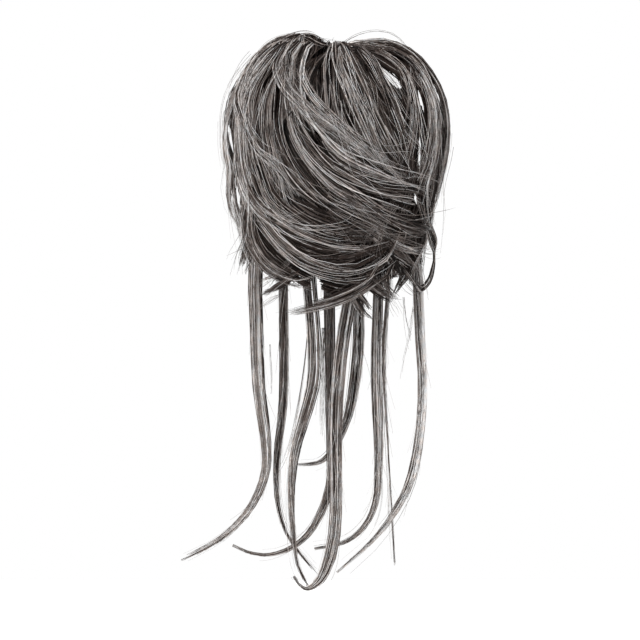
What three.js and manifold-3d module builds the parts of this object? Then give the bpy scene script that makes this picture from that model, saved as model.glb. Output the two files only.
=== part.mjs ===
// Ponytail extension: an elastic loop, a tousled crown of hair locks sewn round it, and long loose tendrils.
// Millimetres, +Z up. The origin is the centre of the elastic loop, the front faces -Y and the hair hangs down.

import * as THREE from "three";
import { mergeVertices } from "three/addons/utils/BufferGeometryUtils.js";
import Module from "manifold-3d";

const wasm = await Module();
wasm.setup();

// Driving dimensions of the loop
const LOOP_BORE = 24;
const ELASTIC_THICKNESS = 5;
const WEFT_THICKNESS = 4;
const WEFT_HEIGHT = 9;
const BORE_LENGTH = 36;
const CLEARANCE = 0.35;

// Facets
const RING_SIDES = 24;
const ELASTIC_SECTION_SIDES = 8;
const TENDRIL_SIDES = 6;
const CROWN_STEP = 31;
const TENDRIL_STEP = 20;
const ROOT_CROWDING = 1.15;
const TIP_CROWDING = 0.75;
const SLIVER = 0.02;

// The crown's outer form: half widths to the left, right, front and back of the loop at each height.
const CROWN_SECTIONS = [
  { height: 9, left: 24, right: 26, front: 22, back: 22 },
  { height: 4, left: 42, right: 44, front: 30, back: 30 },
  { height: -8, left: 58, right: 64, front: 40, back: 38 },
  { height: -30, left: 71, right: 79, front: 51, back: 46 },
  { height: -56, left: 78, right: 85, front: 58, back: 50 },
  { height: -90, left: 75, right: 81, front: 61, back: 49 },
  { height: -120, left: 69, right: 74, front: 58, back: 45 },
  { height: -150, left: 65, right: 73, front: 51, back: 40 },
  { height: -176, left: 54, right: 62, front: 41, back: 32 },
  { height: -192, left: 30, right: 36, front: 24, back: 20 },
];
const CROWN_MIDDLE = -64;
const LAYER_TOP = 10;
const LAYER_FULL = -46;
const LEAST_LAYER = 0.1;
const DEPTH_WEIGHT = 1.4;

// Plain locks that spring from the loop and fall all round it. Turns are degrees round the loop, 0 at the
// front and 90 at the right. Falls are the lowest heights of a tier, and sink is its depth under the form.
const FALLING_TIERS = [
  {
    count: 9, rootHeight: -1.2, from: 84, to: 276, sink: 5, width: 25, thickness: 9, sides: 4,
    shortFall: -152, longFall: -182, swirl: 14,
  },
  {
    count: 10, rootHeight: 0.4, from: -18, to: 342, sink: 14, width: 36, thickness: 9, sides: 4,
    shortFall: -150, longFall: -178, swirl: -18,
  },
];
const FALL_HEIGHTS = [7, -12, -46, -88, -124];
const FALL_TUCK = 9;
const LEAST_SWIRL = 0.6;
const GOLDEN_STEP = 0.618;
const SWEPT_ROOT_HEIGHT = 1.7;
const SWEPT_SIDES = 5;

// Swept locks of the front. Root is the turn where a lock leaves the loop, sink its depth under the crown's
// form, and each station of its path is [across, height] as seen from the front.
const SWEPT_LOCKS = [
  {
    root: -75, sink: 1, width: 15, thickness: 8,
    path: [[-21, 8], [-35, -8], [-37, -26], [-22, -44], [6, -62], [39, -83], [60, -98]],
  },
  {
    root: -50, sink: 4, width: 17, thickness: 8,
    path: [[-16, 8], [-19, -14], [-14, -43], [2, -70], [28, -91], [57, -100]],
  },
  { root: 3, sink: 5, width: 20, thickness: 8, path: [[1, 5], [2, -22], [11, -50], [30, -79], [54, -101]] },
  { root: 25, sink: 4, width: 16, thickness: 8, path: [[9, 5], [20, -18], [34, -47], [47, -76], [58, -100]] },
  { root: 45, sink: 3, width: 14, thickness: 8, path: [[16, 6], [33, -11], [50, -36], [57, -65], [58, -100]] },
  {
    root: 64, sink: 4, width: 13, thickness: 8,
    path: [[24, 7], [46, 0], [68, -25], [76, -54], [74, -84], [62, -108]],
  },
  {
    root: 80, sink: 5, width: 14, thickness: 8,
    path: [[26, 8], [52, 2], [72, -16], [82, -47], [80, -80], [73, -112], [64, -136]],
  },
  {
    root: -95, sink: 4, width: 16, thickness: 8,
    path: [[-26, 8], [-48, 0], [-66, -24], [-75, -50], [-73, -78], [-66, -99], [-57, -121]],
  },
  {
    root: -80, sink: 4, width: 17, thickness: 8,
    path: [[-25, 7], [-44, -9], [-58, -36], [-62, -65], [-54, -90], [-33, -108], [-4, -119]],
  },
  {
    root: -62, sink: 5, width: 18, thickness: 8,
    path: [[-21, 7], [-36, -20], [-44, -50], [-41, -79], [-25, -101], [4, -116], [36, -119]],
  },
  {
    root: -20, sink: 6, width: 19, thickness: 8,
    path: [[-7, 5], [-14, -29], [-21, -58], [-16, -83], [4, -102], [32, -111], [58, -112]],
  },
  {
    root: -105, sink: 1, width: 17, thickness: 7,
    path: [[-30, 7], [-62, -18], [-74, -50], [-67, -82], [-50, -112], [-24, -129], [4, -133], [27, -126]],
  },
  {
    root: -88, sink: 5, width: 22, thickness: 8,
    path: [
      [-28, 6], [-60, -30], [-68, -66], [-62, -100], [-56, -127],
      [-38, -147], [-8, -156], [20, -153], [42, -140],
    ],
  },
  {
    root: -115, sink: 6, width: 19, thickness: 8,
    path: [[-32, 6], [-66, -34], [-71, -80], [-64, -120], [-58, -146], [-46, -164], [-28, -172], [-12, -168]],
  },
  {
    root: 95, sink: 5, width: 20, thickness: 8,
    path: [
      [30, 7], [70, -22], [80, -66], [68, -108], [52, -134],
      [38, -158], [18, -177], [-4, -184], [-24, -186],
    ],
  },
  {
    root: 74, sink: 8, width: 22, thickness: 8,
    path: [[26, 6], [60, -24], [66, -70], [58, -108], [44, -136], [28, -158], [6, -170], [-18, -171]],
  },
  {
    root: 110, sink: 2, width: 9, thickness: 6,
    path: [
      [34, 6], [76, -32], [80, -84], [68, -116], [71, -136],
      [73, -153], [66, -168], [56, -169], [46, -154], [40, -140],
    ],
  },
  {
    root: 40, sink: 9, width: 17, thickness: 8,
    path: [[16, 6], [40, -26], [56, -80], [50, -124], [42, -150], [36, -170], [43, -181]],
  },
  {
    root: 15, sink: 10, width: 18, thickness: 8,
    path: [[7, 5], [22, -40], [36, -96], [36, -138], [27, -166], [22, -181], [27, -190]],
  },
  {
    root: -125, sink: 3, width: 9, thickness: 7,
    path: [[-34, 6], [-70, -34], [-74, -70], [-72, -98], [-71, -112], [-67, -124]],
  },
];

// Long tendrils, left to right. Root is the turn where one hangs from the weft band. Hang, exit and tip are
// its distance behind the loop's middle inside the crown, where it leaves the crown and at its end.
const TENDRILS = [
  {
    root: -112, hang: 19, exit: 10, tip: 4, width: 8.6, thickness: 4.5,
    path: [
      [-54, -150], [-54, -202], [-52, -246], [-47, -280], [-47, -305],
      [-55, -326], [-66, -341], [-84, -356], [-105, -367],
    ],
  },
  {
    root: -135, hang: 25, exit: 16, tip: 20, width: 6.2, thickness: 4,
    path: [
      [-34, -160], [-34, -212], [-35, -258], [-39, -290],
      [-40, -316], [-36, -341], [-28, -358], [-11, -379],
    ],
  },
  {
    root: -78, hang: 13, exit: -6, tip: -6, width: 8.2, thickness: 4.5,
    path: [
      [-16, -160], [-12, -212], [-13, -241], [-20, -267], [-26, -288],
      [-29, -320], [-27, -353], [-24, -371], [-16, -387],
    ],
  },
  {
    root: -162, hang: 20, exit: 6, tip: 4, width: 6, thickness: 4,
    path: [
      [-1, -165], [0, -225], [1, -288], [0, -314], [-13, -345],
      [-27, -358], [-45, -364], [-60, -362], [-70, -357],
    ],
  },
  {
    root: 178, hang: 14, exit: -3, tip: 10, width: 8.2, thickness: 4.5,
    path: [
      [15, -165], [8, -212], [4, -262], [4, -317], [3, -347],
      [-2, -371], [-10, -385], [-18, -388], [-25, -380],
    ],
  },
  {
    root: 156, hang: 25, exit: 18, tip: 12, width: 5.8, thickness: 4,
    path: [[20, -170], [20, -214], [17, -241], [12, -265], [4, -284], [-8, -297], [-23, -299]],
  },
  {
    root: 134, hang: 19, exit: 10, tip: 20, width: 7.2, thickness: 4.5,
    path: [[34, -160], [33, -212], [33, -241], [35, -290], [33, -326], [25, -344], [11, -356], [-8, -361]],
  },
  {
    root: 88, hang: 13, exit: 10, tip: 8, width: 2.8, thickness: 2.6,
    path: [[42, -160], [39, -212], [39, -240], [42, -295], [44, -335], [46, -369]],
  },
  {
    root: 110, hang: 22, exit: 4, tip: -8, width: 7, thickness: 4.5,
    path: [[61, -150], [64, -202], [66, -240], [63, -281], [55, -314], [42, -337], [27, -355], [6, -373]],
  },
];
const HANGING_HEIGHT = -70;
const STRAIGHT_DROP = 8;

// How locks taper: their share of the full width at the root and tip, and where along them they are full.
const CROWN_TAPER = { rootShare: 0.45, fullFrom: 0.22, fullTo: 0.74, tipShare: 0.28 };
const TENDRIL_TAPER = { rootShare: 0.5, fullFrom: 0.22, fullTo: 0.72, tipShare: 0.2 };

const hairMaterial = new THREE.MeshStandardMaterial({ color: 0x57504d, roughness: 0.45, metalness: 0 });
const tendrilMaterial = new THREE.MeshStandardMaterial({ color: 0x6b6461, roughness: 0.45, metalness: 0 });
const elasticMaterial = new THREE.MeshStandardMaterial({ color: 0x1c1817, roughness: 0.85, metalness: 0 });

const elasticRadius = LOOP_BORE / 2 + ELASTIC_THICKNESS / 2;
const weftInner = LOOP_BORE / 2 + ELASTIC_THICKNESS + CLEARANCE;
const weftMiddle = weftInner + WEFT_THICKNESS / 2;

const radians = THREE.MathUtils.degToRad;
const clamp = THREE.MathUtils.clamp;

// The crown's half widths at a height, eased between the two sections that hold it.
function crownSection(height) {
  const lowest = CROWN_SECTIONS.length - 1;
  let below = CROWN_SECTIONS.findIndex((section) => section.height <= height);
  if (below < 0) below = lowest;
  const lower = CROWN_SECTIONS[Math.max(below, 1)];
  const upper = CROWN_SECTIONS[Math.max(below, 1) - 1];
  const share = clamp((upper.height - height) / (upper.height - lower.height), 0, 1);
  const mix = (side) => THREE.MathUtils.lerp(upper[side], lower[side], share);
  return { left: mix("left"), right: mix("right"), front: mix("front"), back: mix("back") };
}

// How deep a lock lies at a height: locks are gathered at the loop and lie in layers further down.
function layerDepth(height, sink) {
  return sink * clamp((LAYER_TOP - height) / (LAYER_TOP - LAYER_FULL), LEAST_LAYER, 1);
}

// The point of the crown's form at a turn and a height, sunk towards the crown's axis.
function formPoint(turn, height, sink) {
  const section = crownSection(height);
  const angle = radians(turn);
  const side = Math.sin(angle) < 0 ? section.left : section.right;
  const depth = Math.cos(angle) > 0 ? section.front : section.back;
  const layer = layerDepth(height, sink);
  return new THREE.Vector3((side - layer) * Math.sin(angle), (layer - depth) * Math.cos(angle), height);
}

// The point of the crown's front that is seen at [across, height].
function frontPoint([across, height], sink) {
  const section = crownSection(height);
  const side = (across < 0 ? section.left : section.right) - layerDepth(height, sink);
  const turn = THREE.MathUtils.radToDeg(Math.asin(clamp(across / side, -1, 1)));
  return formPoint(turn, height, sink);
}

// The point of the weft band's middle at a turn.
function weftPoint(turn, height) {
  const angle = radians(turn);
  return new THREE.Vector3(weftMiddle * Math.sin(angle), -weftMiddle * Math.cos(angle), height);
}

// Which way is out of the crown at a point: away from the crown's middle.
function outOfCrown(point) {
  return new THREE.Vector3(point.x, point.y * DEPTH_WEIGHT, point.z - CROWN_MIDDLE).normalize();
}

// How full a lock is along its length: gathered at the root, and drawn out to a thin end.
function fullness(along, { rootShare, fullFrom, fullTo, tipShare }) {
  const opening = THREE.MathUtils.smoothstep(along, 0, fullFrom);
  const closing = THREE.MathUtils.smoothstep(along, fullTo, 1);
  return THREE.MathUtils.lerp(rootShare, 1, opening) * THREE.MathUtils.lerp(1, tipShare, closing);
}

// A closed lock along a curve: a cylinder whose rows of points are laid round the curve, flat side out.
function lockGeometry({ curve, width, thickness, sides, step, crowding, outAt, taper, grow = 0 }) {
  const steps = Math.round(curve.getLength() / step);
  const geometry = new THREE.CylinderGeometry(1, 1, 1, sides, steps);
  const position = geometry.getAttribute("position");
  const local = new THREE.Vector3();
  for (let i = 0; i < position.count; i++) {
    local.fromBufferAttribute(position, i);
    const along = clamp(0.5 - local.y, 0, 1) ** crowding;
    const middle = curve.getPointAt(along);
    const tangent = curve.getTangentAt(along);
    const across = new THREE.Vector3().crossVectors(tangent, outAt(middle)).normalize();
    const out = new THREE.Vector3().crossVectors(across, tangent).normalize();
    const full = fullness(along, taper);
    middle.addScaledVector(across, local.x * ((full * width) / 2 + grow));
    middle.addScaledVector(out, -local.z * ((full * thickness) / 2 + grow));
    if (along === 0) middle.addScaledVector(tangent, -grow);
    if (along === 1) middle.addScaledVector(tangent, grow);
    position.setXYZ(i, middle.x, middle.y, middle.z);
  }
  return geometry;
}

// A ring round the loop's axis from a closed outline of [radius, height] points.
function ringGeometry(outline) {
  const points = [...outline, outline[0]].map(([radius, height]) => new THREE.Vector2(radius, height));
  return new THREE.LatheGeometry(points, RING_SIDES).rotateX(Math.PI / 2);
}

// A geometry as a solid that can be joined and cut.
function solidOf(geometry) {
  const bare = new THREE.BufferGeometry();
  bare.setAttribute("position", geometry.getAttribute("position"));
  bare.setIndex(geometry.index);
  const merged = mergeVertices(bare, 1e-4);
  return new wasm.Manifold(
    new wasm.Mesh({
      numProp: 3,
      vertProperties: merged.getAttribute("position").array,
      triVerts: new Uint32Array(merged.index.array),
    }),
  );
}

// A solid's largest body, without the small pockets that crossing locks close off inside it.
function largestBody(solid) {
  const bodies = solid.decompose().sort((a, b) => b.volume() - a.volume());
  return bodies[0];
}

// A solid as a geometry, without its slivers.
function geometryOf(solid) {
  const mesh = largestBody(largestBody(solid).simplify(SLIVER)).getMesh();
  const geometry = new THREE.BufferGeometry();
  geometry.setAttribute("position", new THREE.BufferAttribute(new Float32Array(mesh.vertProperties), 3));
  geometry.setIndex(new THREE.BufferAttribute(new Uint32Array(mesh.triVerts), 1));
  geometry.computeVertexNormals();
  return geometry;
}

function namedMesh(name, geometry, material) {
  const mesh = new THREE.Mesh(geometry, material);
  mesh.name = name;
  return mesh;
}

// The elastic loop, round in section.
function elasticBand() {
  const outline = Array.from({ length: ELASTIC_SECTION_SIDES }, (_, i) => {
    const angle = (i / ELASTIC_SECTION_SIDES) * 2 * Math.PI;
    const radius = ELASTIC_THICKNESS / 2;
    return [elasticRadius + radius * Math.cos(angle), radius * Math.sin(angle)];
  });
  return ringGeometry(outline);
}

// The sewn band round the elastic that holds the roots of all the hair.
function weftBand() {
  const top = WEFT_HEIGHT / 2;
  const outer = weftInner + WEFT_THICKNESS;
  return ringGeometry([[weftInner, -top], [outer, -top], [outer, top], [weftInner, top]]);
}

// The clear way through the loop, where the wearer's own hair goes.
function loopBore() {
  return new THREE.CylinderGeometry(weftInner, weftInner, BORE_LENGTH, RING_SIDES).rotateX(Math.PI / 2);
}

// One lock of the crown along stations that start at the weft band.
function crownLock(stations, { width, thickness, sides = SWEPT_SIDES }) {
  return lockGeometry({
    curve: new THREE.CatmullRomCurve3(stations),
    width,
    thickness,
    sides,
    step: CROWN_STEP,
    crowding: ROOT_CROWDING,
    outAt: outOfCrown,
    taper: CROWN_TAPER,
  });
}

// The plain locks of one tier, each with its own length and swirl.
function fallingLocks(tier) {
  return Array.from({ length: tier.count }, (_, k) => {
    const variety = (k * GOLDEN_STEP) % 1;
    const turn = THREE.MathUtils.lerp(tier.from, tier.to, (k + 0.5) / tier.count);
    const fall = THREE.MathUtils.lerp(tier.shortFall, tier.longFall, variety);
    const swirl = tier.swirl * (LEAST_SWIRL + variety);
    const stations = [weftPoint(turn, tier.rootHeight)];
    for (const height of FALL_HEIGHTS) {
      stations.push(formPoint(turn + swirl * (height / fall), height, tier.sink));
    }
    stations.push(formPoint(turn + swirl, fall, tier.sink + FALL_TUCK));
    return crownLock(stations, tier);
  });
}

function sweptLock(lock) {
  const swept = lock.path.map((station) => frontPoint(station, lock.sink));
  return crownLock([weftPoint(lock.root, SWEPT_ROOT_HEIGHT), ...swept], lock);
}

// One tendril: it hangs from under the weft band and comes out of the crown's bottom.
function tendril({ root, hang, width, thickness, exit, tip, path }, grow = 0) {
  const start = weftPoint(root, -WEFT_HEIGHT / 2 - CLEARANCE);
  const [firstAcross] = path[0];
  const hanging = new THREE.Vector3((start.x + firstAcross) / 2, hang, HANGING_HEIGHT);
  const visible = path.map(([across, height], i) => {
    const depth = THREE.MathUtils.lerp(exit, tip, i / (path.length - 1));
    return new THREE.Vector3(across, depth, height);
  });
  const under = start.clone().setZ(start.z - STRAIGHT_DROP);
  return lockGeometry({
    curve: new THREE.CatmullRomCurve3([start, under, hanging, ...visible]),
    width,
    thickness,
    sides: TENDRIL_SIDES,
    step: TENDRIL_STEP,
    crowding: TIP_CROWDING,
    outAt: () => new THREE.Vector3(0, -1, 0),
    taper: TENDRIL_TAPER,
    grow,
  });
}

// The crown: every lock fused to the weft band, parted where the tendrils hang.
function crownHair() {
  const locks = [...FALLING_TIERS.flatMap(fallingLocks), ...SWEPT_LOCKS.map(sweptLock)];
  const hair = wasm.Manifold.union([weftBand(), ...locks].map(solidOf));
  const tendrilWays = TENDRILS.map((row) => tendril(row, CLEARANCE));
  const ways = wasm.Manifold.union([loopBore(), ...tendrilWays].map(solidOf));
  return geometryOf(hair.subtract(ways));
}

const ponytail = new THREE.Group();
ponytail.add(namedMesh("elastic_band", elasticBand(), elasticMaterial));
ponytail.add(namedMesh("crown_hair", crownHair(), hairMaterial));
TENDRILS.forEach((row, i) => {
  ponytail.add(namedMesh(`tendril_${i + 1}`, tendril(row), tendrilMaterial));
});

export default ponytail;
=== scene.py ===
"""Ponytail extension: grey false hair round an elastic loop, as a tousled crown with long loose tendrils."""

import math

import bpy
import numpy as np
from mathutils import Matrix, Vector


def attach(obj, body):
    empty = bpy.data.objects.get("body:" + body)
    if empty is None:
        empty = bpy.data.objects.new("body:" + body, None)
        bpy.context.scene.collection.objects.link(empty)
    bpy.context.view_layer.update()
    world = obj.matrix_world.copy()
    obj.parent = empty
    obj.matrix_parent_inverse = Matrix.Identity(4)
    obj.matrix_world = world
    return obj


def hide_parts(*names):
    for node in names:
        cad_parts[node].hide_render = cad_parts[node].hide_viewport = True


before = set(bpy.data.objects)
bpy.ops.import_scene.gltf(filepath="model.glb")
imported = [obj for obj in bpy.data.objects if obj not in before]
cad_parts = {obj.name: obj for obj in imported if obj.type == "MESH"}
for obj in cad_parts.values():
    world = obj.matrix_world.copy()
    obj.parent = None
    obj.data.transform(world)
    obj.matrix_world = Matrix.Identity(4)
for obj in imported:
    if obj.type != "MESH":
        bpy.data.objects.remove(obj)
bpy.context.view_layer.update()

bl_info = {
    "name": "Ponytail extension",
    "version": (1, 0, 0),
    "blender": (4, 5, 0),
    "location": "View3D > Sidebar > Hairpiece",
    "description": "Builds a tousled ponytail extension hair by hair",
    "category": "Add Mesh",
}

MM = 0.001
FULL_TURN = 2 * math.pi
BODY = "root"
UV_MAP = "OFBake"

# The crown's outer form in millimetres: height, and half widths to the left, right, front and back of the
# loop.
CROWN_SECTIONS = (
    (9, 24, 26, 22, 22),
    (4, 42, 44, 30, 30),
    (-8, 58, 64, 40, 38),
    (-30, 71, 79, 51, 46),
    (-56, 78, 85, 58, 50),
    (-90, 75, 81, 61, 49),
    (-120, 69, 74, 58, 45),
    (-150, 65, 73, 51, 40),
    (-176, 54, 62, 41, 32),
    (-192, 30, 36, 24, 20),
)

# The crown's middle height, how much more its depth counts than its width in the way out of it, and the
# heights between which a layer sinks to its full depth.
CROWN_MIDDLE = -64
DEPTH_WEIGHT = 1.4
LAYER_TOP = 10
LAYER_FULL = -46
LEAST_LAYER = 0.1

# The elastic loop in millimetres, with its gathers.
LOOP_RADIUS = 14.5
LOOP_SEGMENTS = 72
ELASTIC_RADIUS = 2.5
ELASTIC_SEGMENTS = 12
GATHER_DEPTH = 0.4

# The weft band round the loop in millimetres, with its stitches.
WEFT_INNER = 17.35
WEFT_THICKNESS = 4.0
WEFT_HEIGHT = 9.0
WEFT_MIDDLE = WEFT_INNER + WEFT_THICKNESS / 2
WEFT_SHOWN = 4.5
WEFT_SEGMENTS = 96
WEFT_EDGE = 0.7
WEFT_EDGE_STEPS = 3
STITCHES = 64
STITCH_WIDTH = 0.7
STITCH_STAND = STITCH_WIDTH / 3
STITCH_DEPTH = 1.8
STITCH_BEND = 0.8
STITCH_SLANT = 0.6
STITCH_TONE = 0.3
STITCH_SIDES = 4

# Locks that fall all round the loop: turns in degrees from the front, depth under the form, and the lowest
# heights, in millimetres.
FALLING_TIERS = (
    # The outer tier at the back has its tone raised a little: painted light for the side the lamps light
    # less.
    {"count": 9, "from": 84, "to": 276, "sink": 6, "width": 27, "thickness": 7,
     "short": -152, "long": -182, "swirl": 14, "tone": 0.07, "shade": 0.0, "hairs": 76},
    {"count": 10, "from": -18, "to": 342, "sink": 13, "width": 36, "thickness": 8,
     "short": -150, "long": -178, "swirl": -18, "tone": 0.0, "shade": 1.0, "hairs": 62},
)
FALL_HEIGHTS = (7, -12, -46, -88, -124)
FALL_TUCK = 9
GOLDEN_STEP = 0.618
LEAST_SWIRL = 0.6

# Swept locks of the front: the turn of the root, depth under the form, width, thickness, tone, hairs and the
# path as (across, height) seen from the viewpoint, in millimetres.
LEFT_SWEEPS = (
    # The first lock is light grey hair, made lighter still as a painted highlight on the tuft.
    (-75, 0, 8, 5, 0.28, 126,
     ((-23, 9), (-36, -6), (-37, -16), (-32, -28), (-23, -38), (-12, -49), (2, -58), (15, -69),
      (30, -79))),
    (-60, 1.5, 15, 6, 0.13, 150,
     ((-22, 9), (-27, -7), (-25, -22), (-18, -36), (-6, -49), (6, -60), (21, -72), (39, -85),
      (53, -92))),
    (-35, 3, 18, 7, 0.03, 170,
     ((-17, 6), (-27, -12), (-28, -32), (-24, -50), (-14, -68), (1, -84), (21, -94), (42, -100),
      (60, -102), (70, -106))),
    (-50, 4.5, 19, 7, -0.02, 170,
     ((-18, 7), (-30, -4), (-33, -29), (-34, -54), (-28, -72), (-17, -88), (-1, -104), (17, -114),
      (37, -122), (52, -129), (66, -129))),
    (-100, -1.5, 8, 5, 0.14, 120,
     ((-28, 8), (-56, -8), (-66, -27), (-68, -38), (-65, -48), (-59, -63), (-52, -74), (-42, -82),
      (-31, -95), (-24, -107))),
    (-85, 3, 17, 7, 0.02, 160,
     ((-25, 9), (-44, -1), (-58, -22), (-63, -43), (-60, -65), (-57, -83), (-50, -101))),
    (-70, 4, 18, 7, -0.02, 160,
     ((-24, 9), (-37, -7), (-47, -29), (-50, -50), (-47, -72), (-40, -90), (-30, -104), (-12, -115))),
    (-110, 1, 8, 5, -0.18, 100,
     ((-28, 10), (-48, 0), (-65, -23), (-73, -47), (-75, -68), (-72, -88), (-73, -106), (-70, -121),
      (-66, -126))),
    # A light lock along the upper-left outline: partly its own light grey hair, partly a painted sheen on the
    # edge.
    (-88, 0, 6, 4, 0.2, 80,
     ((-22, 10), (-40, 4), (-51, -3), (-58, -14), (-64, -28), (-66, -42), (-64, -60))),
    # The next two locks are dark: painted shade at the notch's left side.
    (-12, 2, 9, 5, -0.18, 90, ((2, 5), (-5, -3), (-13, -14), (-18, -28), (-20, -46))),
    (-40, 1.5, 8, 5, -0.2, 70, ((-13, 8), (-11, 1), (-13, -10), (-18, -24), (-20, -40))),
)
RIGHT_SWEEPS = (
    (0, 6, 14, 7, -0.08, 140, ((4, 4), (2, -8), (2, -25), (6, -47), (15, -65), (30, -83), (46, -93))),
    (8, 3, 12, 7, 0.05, 150,
     ((6, 4.5), (7, -4), (9, -13), (16, -31), (25, -52), (35, -72), (48, -86), (58, -95))),
    (18, 3.5, 12, 7, 0.0, 140, ((10, 4.5), (16, -5), (25, -22), (35, -47), (47, -72), (57, -94))),
    (28, 3, 11, 6, 0.0, 130, ((14, 4.5), (26, -4), (36, -21), (48, -47), (56, -70), (59, -92))),
    (24, 3, 9, 6, 0.02, 110,
     ((11, 3.5), (20, 3), (30, 1), (42, -5), (52, -14), (58, -28), (61, -45), (60, -65), (58, -80),
      (58, -93))),
    (30, 3.5, 10, 6, -0.02, 120,
     ((12, 3), (26, 3), (40, 1), (56, -8), (67, -26), (72, -47), (71, -68), (67, -85), (61, -95))),
    (36, 1.5, 9, 6, 0.05, 130,
     ((13, 2.5), (27, 5), (42, 4.5), (59, -4), (72, -19), (80, -36), (83, -54), (82, -72), (78, -94),
      (73, -115), (68, -124))),
    (34, 3, 10, 6, 0.02, 110,
     ((13, 2), (27, 3.5), (42, 2.5), (60, -8), (73, -34), (76, -58), (72, -84), (68, -98), (68, -112),
      (70, -130))),
    (44, 6, 12, 6, -0.1, 100,
     ((15, 1), (30, 1.5), (46, -1), (62, -14), (72, -36), (75, -60), (73, -84), (70, -106),
      (66, -124))),
)
LOWER_SWEEPS = (
    (-105, 1, 14, 6, 0.12, 190,
     ((-30, 8), (-60, -18), (-69, -46), (-68, -65), (-66, -83), (-62, -99), (-53, -113), (-39, -123),
      (-21, -130), (-5, -132), (14, -130), (22, -125))),
    (-85, 3.5, 16, 7, -0.02, 160,
     ((-30, 7), (-58, -30), (-60, -66), (-54, -90), (-46, -110), (-26, -126), (-1, -137), (24, -139),
      (42, -135))),
    (-95, 3, 18, 7, 0.02, 180,
     ((-30, 7), (-61, -34), (-65, -76), (-60, -108), (-47, -128), (-36, -141), (-20, -153), (-2, -159),
      (15, -160), (31, -154), (42, -144))),
    (-115, 3, 14, 7, 0.02, 150,
     ((-32, 6), (-63, -34), (-65, -80), (-61, -104), (-61, -130), (-57, -144), (-48, -157), (-36, -165),
      (-22, -169), (-10, -166))),
    (95, 7, 14, 7, -0.06, 150,
     ((30, 0), (66, -30), (66, -80), (54, -118), (44, -140), (40, -153), (31, -166), (17, -176),
      (0, -182), (-15, -186), (-30, -189))),
    (74, 9, 18, 7, -0.1, 150,
     ((26, 0), (56, -24), (54, -70), (52, -108), (50, -133), (35, -155), (22, -166), (8, -172),
      (-3, -176))),
    # The next lock lies deep and is darker: painted shade.
    (15, 8, 20, 7, -0.16, 130,
     ((7, 0), (16, -40), (17, -90), (17, -113), (24, -128), (31, -140), (38, -152))),
    (50, 7, 16, 7, 0.0, 120, ((16, 0), (40, -26), (50, -80), (50, -112), (58, -136), (58, -158))),
)
ROOT_HEIGHT = -3.0

# Swept locks of the back, with the same columns but the path as (turn in degrees, height).
BACK_SWEEPS = (
    (118, 1, 12, 6, 0.06, 70, ((112, 6), (104, -24), (110, -58), (128, -92), (150, -118), (172, -134))),
    (150, 2, 13, 6, 0.0, 75, ((146, 7), (138, -22), (140, -56), (154, -92), (176, -124), (196, -146))),
    (182, 1, 12, 6, 0.08, 70, ((186, 8), (194, -20), (190, -52), (176, -84), (156, -114), (134, -138))),
    (214, 2, 13, 6, 0.02, 75, ((216, 7), (222, -22), (224, -56), (212, -92), (190, -122), (168, -150))),
    (246, 1, 12, 6, 0.06, 70, ((248, 6), (256, -24), (252, -60), (236, -96), (216, -124), (196, -140))),
    (98, 2, 12, 6, 0.0, 70, ((96, 6), (92, -28), (98, -64), (106, -100), (100, -134), (94, -160))),
    (262, 2, 12, 6, 0.0, 70, ((264, 6), (268, -30), (262, -66), (254, -102), (260, -136), (266, -160))),
)

# Ragged ends that stand a little clear of the crown: depth, width, thickness, tone, hairs and the path.
LOOSE_ENDS = (
    (0, 7, 4, 0.14, 80, ((-63, -88), (-60, -110), (-59, -132), (-66, -162))),
    (2, 6, 4, 0.14, 50, ((-61, -122), (-60, -142), (-64, -162))),
    (0, 4.5, 4, 0.02, 64, ((-62, -56), (-66, -72), (-70, -90), (-72.5, -106), (-71, -118), (-66, -127))),
    (3, 5, 4, 0.08, 70, ((-22, -159), (-33, -167), (-43, -172.5), (-53, -178))),
    (3, 5, 4, 0.06, 34, ((-28, -156), (-40, -162), (-52, -169))),
    (7, 7, 4, 0.06, 60, ((14, -156), (29, -170), (41, -178), (51, -184))),
    (7, 8, 4, 0.06, 60, ((4, -160), (16, -176), (24, -187), (30, -195))),
    (7, 8, 4, 0.04, 60, ((32, -146), (38, -160), (44, -170), (53, -179))),
    (1.5, 5, 3, 0.12, 34, ((32, -132), (45, -139), (58, -145), (70, -147))),
    (1.5, 5, 3, 0.1, 34, ((31, -134), (42, -143), (53, -151), (63, -158))),
    (2, 5, 3, 0.06, 34, ((31, -135), (40, -147), (49, -160), (58, -171))),
    (2.5, 12, 5, 0.02, 140,
     ((54, -118), (49, -138), (40, -154), (27, -168), (8, -178), (-12, -184), (-38, -190))),
)

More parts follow.
